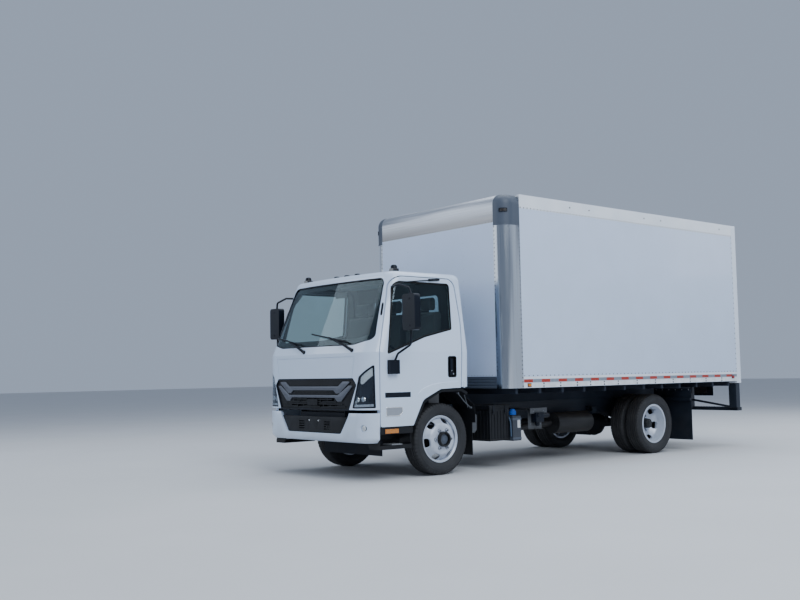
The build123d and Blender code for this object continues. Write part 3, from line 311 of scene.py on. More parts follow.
floor_mat = moulded("floor_mat", (0.03, 0.03, 0.032), 0.75, 120.0, dust=0.0)
blue_cap = moulded("blue_cap", (0.015, 0.11, 0.5), 0.35, dust=0.0)
hose_blue = moulded("hose_blue", (0.07, 0.11, 0.17), 0.4, dust=0.0)
mirror_silver = rolled("mirror_silver", (0.8, 0.83, 0.86), 0.03, (1.0, 1.0, 1.0), 1.0, 0.02)
bar_silver = rolled("bar_silver", (0.115, 0.125, 0.15), 0.42, (0.05, 1.0, 1.0), 0.6, 0.12)
exhaust_steel = rolled("exhaust_steel", (0.018, 0.018, 0.02), 0.5, (1.0, 0.1, 1.0), 0.3)
chrome = rolled("chrome", (0.86, 0.87, 0.88), 0.08, (1.0, 1.0, 1.0), 1.0, 0.05)
rivet_steel = rolled("rivet_steel", (0.018, 0.021, 0.028), 0.5, (1.0, 1.0, 1.0), 0.3, 0.1)
step_bright = rolled("step_bright", (0.55, 0.56, 0.57), 0.4, (1.0, 0.1, 1.0), 0.9)
nut_steel = rolled("nut_steel", (0.26, 0.27, 0.3), 0.35, (1.0, 1.0, 1.0), 0.9, 0.2)
windscreen_glass = glassy("windscreen_glass", (0.86, 0.93, 0.91), 0.035)
door_glass = glassy("door_glass", (0.8, 0.87, 0.87), 0.04)
lamp_glass = glassy("lamp_glass", (0.95, 0.97, 0.98), 0.05)
tyre_rubber = rubber("tyre_rubber")
seat_cloth = woven("seat_cloth", (0.045, 0.045, 0.05))
deck_boards = boarded("deck_boards")
amber_lens = lens("amber_lens", (0.62, 0.2, 0.01), 0.06)
white_lens = lens("white_lens", (0.75, 0.78, 0.8))
tape_red = lens("tape_red", (0.5, 0.045, 0.025))
tape_silver = lens("tape_silver", (0.3, 0.34, 0.4))
smoked_amber = lens("smoked_amber", (0.02, 0.012, 0.008))
clear_ribs = lens("clear_ribs", (0.34, 0.37, 0.42))


def cab_paint():
    """White outside, and a grey lining on the faces inside the cab."""
    finish = Finish("cab_white", CAB_WHITE, 0.3, Coat_Weight=0.7, Coat_Roughness=0.06)
    x, y, z = finish.axes()
    paint = finish.varied(finish.noise(2.2, 4.0), tone(CAB_WHITE, 0.985), tone(CAB_WHITE, 1.015))
    dirt = z.ramp(0.95, 0.45, 0.0, 0.2) * finish.noise(6.0, 6.0).ramp(0.35, 0.75, 0.35, 1.0)
    paint = finish.mix(dirt, paint, DUST)
    # Depth below the cab's skin, whose walls lean in above the belt
    rise = (z - 1.37).maths("MAXIMUM", 0.0)
    half = 1.042 - rise * 0.0897
    corner = 0.245 - rise * 0.1065
    bow = (rise * 0.0426 + 0.022) * ((x / (half - corner)) ** 2.0).maths("MINIMUM", 1.0)
    beside = (x.maths("ABSOLUTE") - half + corner).maths("MAXIMUM", 0.0)
    before = (rise * 0.381 + bow + corner - (1.088 - AXLE_Y) - y).maths("MAXIMUM", 0.0)
    depth = corner - (beside ** 2.0 + before ** 2.0) ** 0.5
    ahead = (y + rise * 0.052).below(AXLE_Y + 0.345)
    inside = depth.above(0.036) * ahead * z.below(2.212) * z.above(0.8)
    finish.feed("Base Color", finish.mix(inside, paint, (0.055, 0.058, 0.064)))
    finish.feed("Roughness", 0.3 + inside * 0.35 + dirt * 0.5)
    finish.feed("Coat Weight", 0.7 - inside * 0.7)
    finish.bump(finish.noise(900.0, 2.0), 0.25, 0.00012)
    return finish.material


def wheel_finish(name, axle, disc_inside):
    """White disc and rim, with a dark hub and brake drum behind the disc."""
    finish = Finish(name, (0.66, 0.67, 0.68), 0.35, Metallic=0.2)
    x, y, z = finish.axes()
    away = ((y - axle) ** 2.0 + (z - AXLE_HEIGHT) ** 2.0) ** 0.5
    clouds = finish.noise(14.0, 5.0)
    paint = finish.varied(clouds, (0.47, 0.51, 0.59), (0.58, 0.63, 0.72))
    grime = clouds.ramp(0.4, 0.8) * (away.ramp(0.2, 0.245, 0.0, 0.25) + 0.05)
    paint = finish.mix(grime, paint, (0.22, 0.2, 0.18))
    drum = away.below(0.166) * x.maths("ABSOLUTE").below(disc_inside)
    dark = (away.below(0.0862) + drum).maths("MINIMUM", 1.0)
    finish.feed("Base Color", finish.mix(dark, paint, (0.012, 0.012, 0.013)))
    finish.feed("Roughness", 0.34 + grime * 0.4 + dark * 0.1)
    finish.bump(finish.noise(500.0, 2.0), 0.2, 0.0002)
    return finish.material


def tank_finish():
    """Black battery box and fuel tank, and the fluid tank's dark grey."""
    finish = Finish("tank_black", (0.008, 0.009, 0.011), 0.42, Specular_IOR_Level=0.25)
    x, y, z = finish.axes()
    fluid = x.above(0.6) * y.above(AXLE_Y + 1.08)
    clouds = finish.noise(5.0, 5.0)
    black = finish.varied(clouds, (0.0065, 0.0075, 0.0095), (0.011, 0.012, 0.015), 0.75)
    grey = finish.varied(clouds, (0.04, 0.047, 0.06), (0.055, 0.062, 0.076), 0.75)
    finish.feed("Base Color", finish.mix(fluid, black, grey))
    finish.feed("Roughness", 0.4 + (clouds - 0.5) * 0.12)
    finish.bump(finish.noise(650.0, 2.0), 0.2, 0.0003)
    return finish.material


def post_finish():
    """Polished posts: broad upright bands of painted reflection, light and dark, as bright sheet shows what stands
    round it.
    """
    finish = Finish("post_bright", (0.7, 0.7, 0.7), 0.22, Metallic=1.0)
    bands = finish.noise(9.0, 1.5, (1.0, 1.0, 0.03)).ramp(0.42, 0.58)
    lines = finish.noise(90.0, 3.0, (1.0, 1.0, 0.02))
    # Base colour runs from dark to light across the bands: painted reflection
    metal = finish.mix(bands, (0.36, 0.39, 0.43), (0.93, 0.96, 0.99))
    finish.feed("Base Color", finish.mix(lines.ramp(0.3, 0.7, 0.0, 0.2), metal, (0.55, 0.53, 0.5)))
    finish.feed("Roughness", 0.2 + (lines - 0.5) * 0.12)
    finish.bump(lines, 0.1, 0.0002)
    return finish.material


def rail_finish():
    """White side rails, and a front rail of brushed metal with painted shade that darkens it towards its lower edge."""
    finish = Finish("body_rail_paint", (0.7, 0.7, 0.7), 0.4)
    x, y, z = finish.axes()
    front = y.below(AXLE_Y + POST_BACK + 0.001)
    lines = finish.noise(60.0, 4.0, (0.02, 1.0, 1.0))
    metal = finish.varied(lines, (0.44, 0.46, 0.5), (0.6, 0.62, 0.66))
    # Painted shade: the front rail's metal darkens below its top, towards its lower edge
    metal = finish.mix(z.ramp(2.93, 3.1), (0.3, 0.295, 0.3), metal)
    white = finish.varied(finish.noise(3.0, 4.0), (0.73, 0.77, 0.83), (0.8, 0.83, 0.88))
    dirt = z.ramp(1.1, 0.94, 0.0, 0.35) * finish.noise(9.0, 5.0).ramp(0.35, 0.7)
    finish.feed("Base Color", finish.mix(front, finish.mix(dirt, white, DUST), metal))
    finish.feed("Metallic", front)
    finish.feed("Roughness", 0.42 + (lines - 0.5) * front * 0.3)
    finish.bump(lines * front, 0.2, 0.0004)
    return finish.material


def marker_finish():
    """Lamp lenses: amber at the front, smoked on the cab roof and red at the rear, in dark casings."""
    finish = Finish("marker_lenses", (0.5, 0.02, 0.02), 0.15, Coat_Weight=0.8)
    x, y, z = finish.axes()
    ribs = finish.bands("Y", 60.0)
    front = y.below(0.0)
    roof = front * z.above(2.2)
    casing = (y.above(0.0) * z.below(0.95)
              * (y.below(AXLE_Y + DOOR_BACK) + z.above(0.852)).maths("MINIMUM", 1.0))
    colour = finish.mix(front, (0.5, 0.015, 0.02), (0.8, 0.26, 0.02))
    colour = finish.mix(roof + casing, colour, (0.012, 0.012, 0.014))
    finish.feed("Base Color", finish.mix(ribs * 0.4, colour, (0.03, 0.02, 0.02)))
    finish.bump(ribs, 0.4, 0.001)
    return finish.material


cab_white = cab_paint()


def soft_edges(thing, width, angle):
    """Bevels the sharp edges of a piece or node as it is shown."""
    edge = thing.modifiers.new("soft_edges", "BEVEL")
    edge.width = width
    edge.segments = 2
    edge.limit_method = "ANGLE"
    edge.angle_limit = radians(angle)
    return edge


# Finishes of the frame's own nodes: bevel of sharp edges, finish and nodes
NODE_FINISHES = (
    (0.0, cab_white, "cab_roof cab_back cab_sides front_panel door_left door_right"),
    (0.004, cab_white, "bumper"),
    (0.0, body_white, "body_walls"),
    (0.003, body_white, "roller_door"),
    (0.004, rail_white, "rear_frame"),
    (0.002, rail_finish(), "body_rails"),
    (0.0, roof_sheet, "roof_panel"),
    (0.0, post_finish(), "corner_posts"),
    (0.0, casting_grey, "corner_castings"),
    (0.002, casting_grey, "front_sill"),
    (0.0015, grain_black, "grille bumper_insert arch_liners"),
    (0.006, grain_black, "steps"),
    (0.004, bar_silver, "grille_bars"),
    (0.01, cabin_grey, "dashboard"),
    (0.012, trim_black, "mirror_left mirror_right"),
    (0.003, trim_black, "steering_wheel"),
    (0.002, frame_black, "chassis_frame"),
    (0.002, sill_black, "floor_sills"),
    (0.004, frame_black, "rear_bumper"),
    (0.01, tank_finish(), "side_tanks"),
    (0.003, underside_black, "front_axle leaf_springs rear_axle drive_shaft tie_rod knuckle_left knuckle_right"),
    (0.01, engine_grey, "engine_block"),
    (0.002, engine_grey, "radiator"),
    (0.004, exhaust_steel, "exhaust"),
    (0.0, windscreen_glass, "cab_windows"),
    (0.0, door_glass, "door_glass_left door_glass_right"),
    (0.0, white_lens, "headlamps"),
    (0.003, marker_finish(), "lamps"),
    (0.003, wheel_finish("front_wheel_paint", AXLE_Y, 0.945), "front_wheel_left front_wheel_right"),
    (0.003, wheel_finish("rear_wheel_paint", AXLE_Y + WHEELBASE, 0.812), "rear_wheels_left rear_wheels_right"),
    (0.0, tyre_rubber, "front_tyre_left front_tyre_right rear_tyres_left rear_tyres_right"),
    (0.02, seat_cloth, "seats"),
    (0.0, floor_mat, "cab_floor"),
    (0.0015, flap_black, "mud_flaps"),
    (0.0, deck_boards, "load_floor"),
)
for width, finish, names in NODE_FINISHES:
    for name in names.split():
        node = nodes[name]
        node.data.materials.clear()
        node.data.materials.append(finish)
        if width:
            node.modifiers.new("joined_edges", "WELD").merge_threshold = 0.00002
            soft_edges(node, width, 50)

# Slot of each finish by name; piece() looks it up when a piece names no slot, but keeps it nowhere
SLOT_FINISHES = {
    "black_plastic": (trim_black, grain_black, seal_black, mirror_silver, blue_cap, hose_blue),
    "bright_metal": (chrome, rivet_steel, nut_steel, step_bright, stay_grey),
    "lamp_lens": (white_lens, lamp_glass, clear_ribs, amber_lens, smoked_amber),
    "body_panel": (body_white, rail_white, roof_sheet, tape_red, tape_silver),
    "dark_casting": (casting_grey, hub_black, bracket_grey),
    "chassis_paint": (frame_black, underside_black, rail_fastener),
    "flap_rubber": (flap_black,),
    "tyre_rubber": (tyre_rubber,),
    "white_paint": (cab_white,),
}
usual_slot = {finish.name: slot for slot, finishes in SLOT_FINISHES.items() for finish in finishes}


# Mesh building

def cab_section(z, sections):
    """Half width, front, bow and corner radius of a form at a height."""
    for low, high in zip(sections, sections[1:]):
        if z <= high[0]:
            break
    share = (z - low[0]) / (high[0] - low[0])
    return [a + share * (b - a) for a, b in zip(low[1:], high[1:])]


def cab_skin(x, z, sections=CAB_SECTIONS):
    """Y of the cab's outer skin at a place seen from the front."""
    half, front, bow, corner = cab_section(z, sections)
    flat = half - corner
    if abs(x) <= flat:
        return front + bow * (x / flat) ** 2
    reach = min(abs(x) - flat, corner * 0.995)
    return front + bow + corner - sqrt(corner ** 2 - reach ** 2)


def side_skin(y, z):
    """Half width of the cab's outer skin at a place seen from the side."""
    half, front, bow, corner = cab_section(z, CAB_SECTIONS)
    ahead = max(front + bow + corner - y, 0.0)
    return half - corner + sqrt(corner ** 2 - min(ahead, corner * 0.995) ** 2)


def on_cab_front(x, z, lift):
    """Place ahead of the cab's front skin."""
    return Vector((x, cab_skin(x, z) - lift, z))


def on_side(side):
    """Places outside the cab's side skin, from y and a height."""
    return lambda y, z, lift: (side * (side_skin(y, z) + lift), y, z)


def off(place, x, y, z):
    """Place moved by a distance along each axis."""
    return Vector(place) + Vector((x, y, z))


def drawn_in(outline, amount):
    """Outline with every edge moved towards its inside; a point is (first, second, radius)."""
    following = outline[1:] + outline[:1]
    area = sum(here[0] * after[1] - after[0] * here[1] for here, after in zip(outline, following))
    turn = 1 if area > 0 else -1
    moved = []
    for place, (first, second, radius) in enumerate(outline):
        here = Vector((first, second))
        before = (here - Vector(outline[place - 1][:2])).normalized()
        after = (Vector(following[place][:2]) - here).normalized()
        inward = [Vector((-run.y, run.x)) * turn for run in (before, after)]
        shift = (inward[0] + inward[1]) * amount / (1 + inward[0].dot(inward[1]))
        convex = turn * (before.x * after.y - before.y * after.x) > 0
        size = max(radius - amount, 0.003) if convex else radius + amount
        moved.append((first + shift.x, second + shift.y, size))
    return tuple(moved)


def rounded(points, steps=6, runs=1):
    """Outline with round corners; a point is (first, second, radius), and each run is cut in parts."""
    path = []
    for place, (first, second, radius) in enumerate(points):
        here = Vector((first, second))
        before = (Vector(points[place - 1][:2]) - here).normalized()
        after = (Vector(points[(place + 1) % len(points)][:2]) - here).normalized()
        half_turn = before.angle(after) / 2
        reach = radius * cos(half_turn) / sin(half_turn)
        centre = here + (before + after).normalized() * radius / sin(half_turn)
        start = here + before * reach - centre
        end = here + after * reach - centre
        path.append([centre + start.slerp(end, step / steps).normalized() * radius
                     for step in range(steps + 1)])
    outline = []
    for corner, following in zip(path, path[1:] + path[:1]):
        outline += corner
        outline += [corner[-1].lerp(following[0], part / runs) for part in range(1, runs)]
    return [tuple(point) for point in outline]


def box_outline(low_x, high_x, low_z, high_z, radius):
    """Corners of an oblong outline, with one radius."""
    return ((low_x, low_z, radius), (high_x, low_z, radius), (high_x, high_z, radius), (low_x, high_z, radius))


def mirrored(side, outline):
    """Outline moved to a side."""
    return [(side * x, z) for x, z in outline]


# The mesh being built; piece() takes over what is in it and empties it
mesh = bmesh.new()


def block(x, y, z):
    """Adds a box between two limits on each axis."""
    corners = [mesh.verts.new((i, j, k)) for i in sorted(x) for j in sorted(y) for k in sorted(z)]
    for face in ((0, 1, 3, 2), (4, 6, 7, 5), (0, 4, 5, 1), (2, 3, 7, 6), (0, 2, 6, 4), (1, 5, 7, 3)):
        mesh.faces.new([corners[corner] for corner in face])


def rings(loops, closed=True, caps=True):
    """Skin over a run of point loops with the same count."""
    rows = [[mesh.verts.new(point) for point in loop] for loop in loops]
    count = len(rows[0])
    for row, following in zip(rows, rows[1:]):
        for place in range(count if closed else count - 1):
            after = (place + 1) % count
            mesh.faces.new((row[place], row[after], following[after], following[place]))
    if caps:
        mesh.faces.new(list(reversed(rows[0])))
        mesh.faces.new(rows[-1])


def frame_of(direction):
    """Two directions square to a direction."""
    helper = Vector((0, 0, 1)) if abs(direction.z) < 0.9 else Vector((1, 0, 0))
    first = direction.cross(helper).normalized()
    return first, direction.cross(first).normalized()


def circle(centre, across, upward, radius, sides):
    """Points round a centre."""
    turns = [2 * pi * k / sides for k in range(sides)]
    return [centre + (across * cos(turn) + upward * sin(turn)) * radius for turn in turns]


def rod(start, end, radius, sides=16, end_radius=None, dome=0.0):
    """Round bar or cone between two points, with a rounded end if it has a dome."""
    start, end = Vector(start), Vector(end)
    direction = (end - start).normalized()
    end_radius = radius if end_radius is None else end_radius
    stations = [(start, radius), (end, end_radius)]
    if dome:
        stations += [(end + direction * dome * 0.7, end_radius * 0.7),
                     (end + direction * dome, end_radius * 0.25)]
    rings([circle(place, *frame_of(direction), size, sides) for place, size in stations])


def tube(points, radius, sides=12, bend=0.03):
    """Round bar along straight runs joined by bends."""
    corners = [Vector(point) for point in points]
    route = [corners[0]]
    for before, here, after in zip(corners, corners[1:], corners[2:]):
        cut = min(bend, (before - here).length * 0.45, (after - here).length * 0.45)
        start = here + (before - here).normalized() * cut
        end = here + (after - here).normalized() * cut
        route += [start.lerp(here, t).lerp(here.lerp(end, t), t) for t in (0, 0.2, 0.4, 0.6, 0.8, 1)]
    route.append(corners[-1])
    across, upward = frame_of((route[1] - route[0]).normalized())
    loops = []
    for place, point in enumerate(route):
        ahead = (route[min(place + 1, len(route) - 1)] - route[max(place - 1, 0)]).normalized()
        across = (across - ahead * across.dot(ahead)).normalized()
        upward = ahead.cross(across)
        loops.append(circle(point, across, upward, radius, sides))
    rings(loops)


def skin_plate(outline, back, front, place=on_cab_front, step=0.05):
    """Plate that follows a skin; back and front are its faces' distances ahead of the skin."""
    part = [mesh.faces.new([mesh.verts.new((first, 0, second)) for first, second in outline])]
    part = bmesh.ops.triangulate(mesh, faces=part, ngon_method="EAR_CLIP")["faces"]
    part += list({edge for face in part for edge in face.edges}) + list({vert for face in part for vert in face.verts})
    # Cuts along both axes, so that the plate can bend
    for normal, values in (((1, 0, 0), [point[0] for point in outline]), ((0, 0, 1), [point[1] for point in outline])):
        cut = (int(min(values) / step) - 1) * step
        while cut < max(values):
            if cut > min(values):
                at = tuple(cut * direction for direction in normal)
                part = bmesh.ops.bisect_plane(mesh, geom=part, plane_co=at, plane_no=normal)["geom"]
            cut += step
    faces = [item for item in part if isinstance(item, bmesh.types.BMFace)]
    under = {vert for face in faces for vert in face.verts}
    raised = bmesh.ops.extrude_face_region(mesh, geom=faces, use_keep_orig=True)["geom"]
    for vert in under:
        vert.co = place(vert.co.x, vert.co.z, back)
    for vert in raised:
        if isinstance(vert, bmesh.types.BMVert):
            vert.co = place(vert.co.x, vert.co.z, front)


def loop_section(loops):
    """Band through four loops and back to the first."""
    rings([*loops, loops[0]], caps=False)


def skin_ring(outer, inner, back, front, place=on_cab_front):
    """Band between two outlines of one count that follows a skin."""
    loop_section([[place(first, second, lift) for first, second in outline]
                  for outline, lift in ((outer, back), (outer, front), (inner, front), (inner, back))])


def skin_band(outline, outer, inner, back, front, place=on_cab_front, steps=6, runs=1):
    """Band that follows a skin, between two distances inside an outline."""
    skin_ring(rounded(drawn_in(outline, outer), steps, runs), rounded(drawn_in(outline, inner), steps, runs),
              back, front, place)


def turned(profile, centre, outward=1, sides=48):
    """Ring turned about a line along X; a point is (distance outward, radius), in a closed loop."""
    x, y, z = centre
    turns = [2 * pi * k / sides for k in range(sides + 1)]
    rings([[(x + outward * reach, y + radius * cos(turn), z + radius * sin(turn))
            for reach, radius in (*profile, profile[0])] for turn in turns], closed=False, caps=False)


def stud(place, outward, radius=0.005, height=0.0025, sides=6):
    """Low round head of a rivet or bolt."""
    place, outward = Vector(place), Vector(outward)
    rings([circle(place + outward * lift, *frame_of(outward), size, sides)
           for lift, size in ((-0.0005, radius), (height, radius * 0.6))])


def stud_row(start, end, pitch, outward, radius=0.005, height=0.0025, sides=6):
    """Row of rivet heads between two places."""
    start, end = Vector(start), Vector(end)
    count = max(int(round((end - start).length / pitch)), 1)
    for step in range(count + 1):
        stud(start.lerp(end, step / count), outward, radius, height, sides)


def stud_circle(centre, ring, count, outward, radius, height, start=0.0):
    """Bolt heads in a ring about a line along X."""
    for k in range(count):
        turn = start + 2 * pi * k / count
        stud(off(centre, 0, ring * cos(turn), ring * sin(turn)), (outward, 0, 0), radius, height)


def piece(name, finish, body="truck", slot=None, bevel=0.0, stands_for=()):
    """Turns the built mesh into a piece that rides on a body."""
    for vert in mesh.verts:
        vert.co.y += AXLE_Y
    bmesh.ops.remove_doubles(mesh, verts=mesh.verts, dist=0.00002)
    bmesh.ops.recalc_face_normals(mesh, faces=mesh.faces)
    data = bpy.data.meshes.new(name)
    mesh.to_mesh(data)
    mesh.clear()
    data.materials.append(finish)
    made = bpy.data.objects.new(name, data)
    bpy.context.scene.collection.objects.link(made)
    data.polygons.foreach_set("use_smooth", [True] * len(data.polygons))
    data.set_sharp_from_angle(angle=radians(32))
    if bevel:
        soft_edges(made, bevel, 40).harden_normals = True
    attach(made, body)
    slot or usual_slot[finish.name]
    if stands_for:
        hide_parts(*stands_for)


# Windscreen surround and wipers

WINDSCREEN = ((-0.958, 1.508, 0.06), (-0.86, 2.188, 0.09), (0.86, 2.188, 0.09),
              (0.958, 1.508, 0.06), (0.7, 1.452, 0.4), (-0.7, 1.452, 0.4))
skin_band(WINDSCREEN, 0.0015, 0.07, -0.0215, -0.0188, steps=8, runs=12)
piece("windscreen_border", trim_black)
skin_band(WINDSCREEN, 0.0015, 0.012, -0.016, -0.003, steps=8, runs=12)
piece("windscreen_seal", trim_black, bevel=0.002)

WIPER_PIVOTS = (0.704, -0.18)
WIPER_REACH = 0.46
for pivot in WIPER_PIVOTS:
    base = on_cab_front(pivot, 1.395, 0.0)
    rod(base, off(base, 0, -0.012, 0.003), 0.024, 20, 0.019, 0.004)
    knuckle = on_cab_front(pivot, 1.4, 0.011)
    elbow = on_cab_front(pivot - 0.16, 1.462, 0.022)
    tip = on_cab_front(pivot - WIPER_REACH, 1.553, 0.012)
    rings([[off(place, 0, y, z) for y, z in ((-0.007, -half), (-0.007, half), (0.007, half), (0.007, -half))]
           for place, half in ((off(knuckle, 0.02, 0, -0.004), 0.017), (knuckle, 0.018), (elbow, 0.012), (tip, 0.006))])
    blade = [on_cab_front(pivot - WIPER_REACH + 0.36 - 0.066 * k, 1.488 + 0.0105 * k, 0.004) for k in range(12)]
    # Lip and back of the blade: near side, far side, and half the thickness
    for near, far, half in ((-0.0003, 0.004, 0.0025), (-0.0036, 0.012, 0.008)):
        rings([[off(place, 0, y, z) for y, z in ((near, -half), (near, half), (-far, half), (-far, -half))]
               for place in blade])
    rod(off(tip, 0, 0.002, 0), off(blade[6], 0, -0.012, 0), 0.006, 10)
piece("wipers", trim_black, bevel=0.0015)

# Grille: slats and frame behind the bright bars
brow = ((-0.726, 1.09, 0.01), (0.726, 1.09, 0.01), (0.712, 1.07, 0.006), (0.56, 1.072, 0.01),
        (0.47, 1.018, 0.01), (-0.47, 1.018, 0.01), (-0.56, 1.072, 0.01), (-0.712, 1.07, 0.006))
skin_plate(rounded(brow, 3), -0.011, -0.002)
# Slats: height, how high, their front, and the stretches along each
for low, high, front, stretches in (
    (0.93, 0.007, -0.003, ((-0.375, 0.375),)),
    (0.946, 0.007, -0.003, ((-0.39, 0.39),)),
    (0.862, 0.013, -0.002, ((-0.4, -0.12), (0.1, 0.36))),
    (0.836, 0.013, -0.002, ((-0.46, -0.26), (-0.2, 0.16), (0.24, 0.44))),
    (0.81, 0.013, -0.002, ((-0.56, -0.12), (0.1, 0.55))),
    (0.784, 0.013, -0.002, ((-0.6, -0.3), (-0.16, 0.14), (0.28, 0.6))),
):
    for start, end in stretches:
        skin_plate([(start, low), (end, low), (end, low + high), (start, low + high)], -0.011, front)
skin_plate(rounded(box_outline(-0.1, 0.1, 0.802, 0.872, 0.01), 3), -0.011, 0.006)
piece("grille_slats", grain_black, bevel=0.002)

GRILLE = ((-0.66, 0.747, 0.02), (-0.79, 1.026, 0.025), (-0.726, 1.098, 0.015),
          (0.726, 1.098, 0.015), (0.79, 1.026, 0.025), (0.66, 0.747, 0.02))
skin_band(GRILLE, 0.0015, 0.018, -0.012, 0.001, steps=5, runs=10)
piece("grille_frame", trim_black, bevel=0.003)

# Headlamps: dark housing, clear lens, projectors and bright strip
LAMP_OUTLINE = ((0.7185, 0.774, 0.012), (0.822, 1.111, 0.03), (0.9845, 1.238, 0.01), (0.9895, 0.779, 0.01))
LAMP_WHITE = ((0.842, 1.106, 0.02), (0.972, 1.212, 0.01), (0.972, 1.13, 0.02), (0.832, 1.0, 0.02))
LAMP_STRIP = ((0.732, 0.786, 0.004), (0.748, 0.85, 0.004), (0.765, 0.85, 0.004), (0.756, 0.812, 0.006),
              (0.972, 0.822, 0.004), (0.972, 0.794, 0.004))
PROJECTORS = ((0.775, 0.868, 0.027), (0.868, 0.872, 0.023))


def lamp_plate(side, outline, steps, back, front):
    """Plate of a headlamp, cut finely to follow the cab's round corner."""
    skin_plate(mirrored(side, rounded(outline, steps)), back, front, step=0.02)


for name, side in NAMED_SIDES:
    lamp_plate(side, LAMP_OUTLINE, 5, -0.045, -0.024)
    piece(f"headlamp_housing_{name}", trim_black, slot="lamp_lens", stands_for=["headlamps"] if side == 1 else ())
    skin_ring(mirrored(side, rounded(LAMP_OUTLINE, 5, 8)), mirrored(side, rounded(drawn_in(LAMP_OUTLINE, 0.014), 5, 8)),
              -0.026, -0.001)
    piece(f"headlamp_rim_{name}", trim_black, bevel=0.002)
    lamp_plate(side, LAMP_WHITE, 4, -0.024, -0.014)
    piece(f"headlamp_daylight_{name}", white_lens, bevel=0.002)
    lamp_plate(side, LAMP_STRIP, 3, -0.024, -0.008)
    centres = [(on_cab_front(side * x, z, -0.016), radius) for x, z, radius in PROJECTORS]
    for centre, radius in centres:
        rod(off(centre, 0, 0.01, 0), off(centre, 0, -0.002, 0), radius + 0.009, 24, radius + 0.005)
    piece(f"headlamp_bright_{name}", chrome, slot="lamp_lens", bevel=0.0015)
    for centre, radius in centres:
        rod(centre, off(centre, 0, -0.004, 0), radius, 24, radius * 0.9, 0.008)
    piece(f"headlamp_projectors_{name}", lamp_glass)
    lamp_plate(side, drawn_in(LAMP_OUTLINE, 0.004), 5, -0.0055, -0.003)
    piece(f"headlamp_lens_{name}", lamp_glass)

# Bumper: bolts of the bare plate place, and side lamps
bolt_y = cab_skin(0.089, 0.632, BUMPER_SECTIONS) + 0.022
lamp_y = cab_skin(0.884, 0.565, BUMPER_SECTIONS)
for side in SIDES:
    rod((side * 0.089, bolt_y + 0.004, 0.632), (side * 0.089, bolt_y - 0.004, 0.632), 0.0085, 6, 0.0085, 0.002)
piece("plate_bolts", chrome)
for side in SIDES:
    rod((side * 0.884, lamp_y + 0.03, 0.565), (side * 0.884, lamp_y + 0.012, 0.565), 0.036, 28)
piece("bumper_lamp_housings", trim_black, bevel=0.002)
for side in SIDES:
    rod((side * 0.884, lamp_y + 0.016, 0.565), (side * 0.884, lamp_y + 0.006, 0.565), 0.032, 28, 0.03, 0.004)
piece("bumper_lamp_lenses", white_lens)

# Black strips on the windscreen pillars: height and half width along each
for side in SIDES:
    loops = []
    for z, half in ((1.765, 0.004), (1.78, 0.008), (1.83, 0.008), (1.89, 0.008), (1.905, 0.004)):
        x = side * (0.98 - 0.1441 * (z - 1.508))
        loops.append([on_cab_front(x + dx, z, lift)
                      for dx, lift in ((-half, -0.003), (-half, 0.004), (half, 0.004), (half, -0.003))])
    rings(loops)
piece("pillar_strips", trim_black, bevel=0.0015)

# Roof marker lamps: y, length against width, their x, then radius and height of each level
for y, longer, places, levels in (
    (-0.585, 1.2, (-0.2, 0.0, 0.2), ((0.034, 2.2615), (0.034, 2.274), (0.026, 2.289), (0.012, 2.293))),
    (-0.56, 1.1, (-0.829, 0.829), ((0.036, 2.28), (0.036, 2.312), (0.03, 2.33), (0.016, 2.338))),
):
    for x in places:
        rings([circle(Vector((x, y, z)), Vector((1, 0, 0)), Vector((0, longer, 0)), radius, 16)
               for radius, z in levels])
piece("roof_marker_lamps", trim_black)


# Doors: seals, handle, mirror glass, side lamp and trim

WINDOW = ((-0.85, 1.34, 0.018), (-0.692, 2.146, 0.12), (0.126, 2.146, 0.045),
          (0.112, 1.62, 0.025), (-0.3, 1.53, 0.5))
DOOR = ((-0.928, 0.577, 0.02), (-0.928, 1.382, 0.2), (-0.69, 2.196, 0.17),
        (0.186, 2.196, 0.12), (0.246, 1.7, 0.9), (0.218, 0.966, 0.01),
        (-0.071, 0.966, 0.12), (-0.342, 0.85, 0.12), (-0.489, 0.577, 0.015))
HANDLE = box_outline(0.03, 0.148, 1.092, 1.317, 0.018)
HANDLE_FLOOR = 1.0115
SIDE_LAMP = ((-0.869, 0.686, 0.014), (-0.869, 0.783, 0.014), (-0.641, 0.783, 0.014),
             (-0.641, 0.722, 0.014), (-0.68, 0.686, 0.014))
TRIM_STRIP = ((-0.877, 0.884, 0.004), (-0.877, 0.938, 0.004), (-0.526, 0.938, 0.004), (-0.526, 0.884, 0.004))
MIRROR = ((1.195, 1.59, 0.035), (1.195, 1.975, 0.035), (1.398, 1.975, 0.035), (1.398, 1.59, 0.035))
MIRROR_BACK = -0.68
# Crease above the wheel arch: y and height
ARCH_CREASE = ((-0.425, 0.915), (-0.385, 0.948), (-0.33, 0.978), (-0.265, 1.0), (-0.205, 1.013),
               (-0.13, 1.024), (-0.06, 1.03), (0.06, 1.034), (0.18, 1.037))


def crease(skin, path):
    """Low ridge along the side skin, sharp above and fading below and at its start."""
    loops = []
    for step, (y, z) in enumerate(path):
        fade = 1.0 if step else 0.3
        foot = z - 0.066 * fade - 0.004
        loops.append([skin(y, z + 0.004, -0.001), skin(y, z - 0.003, 0.009 * fade),
                      skin(y, z - 0.02, 0.008 * fade), skin(y, foot, 0.0004), skin(y, foot, -0.001)])
    rings(loops)


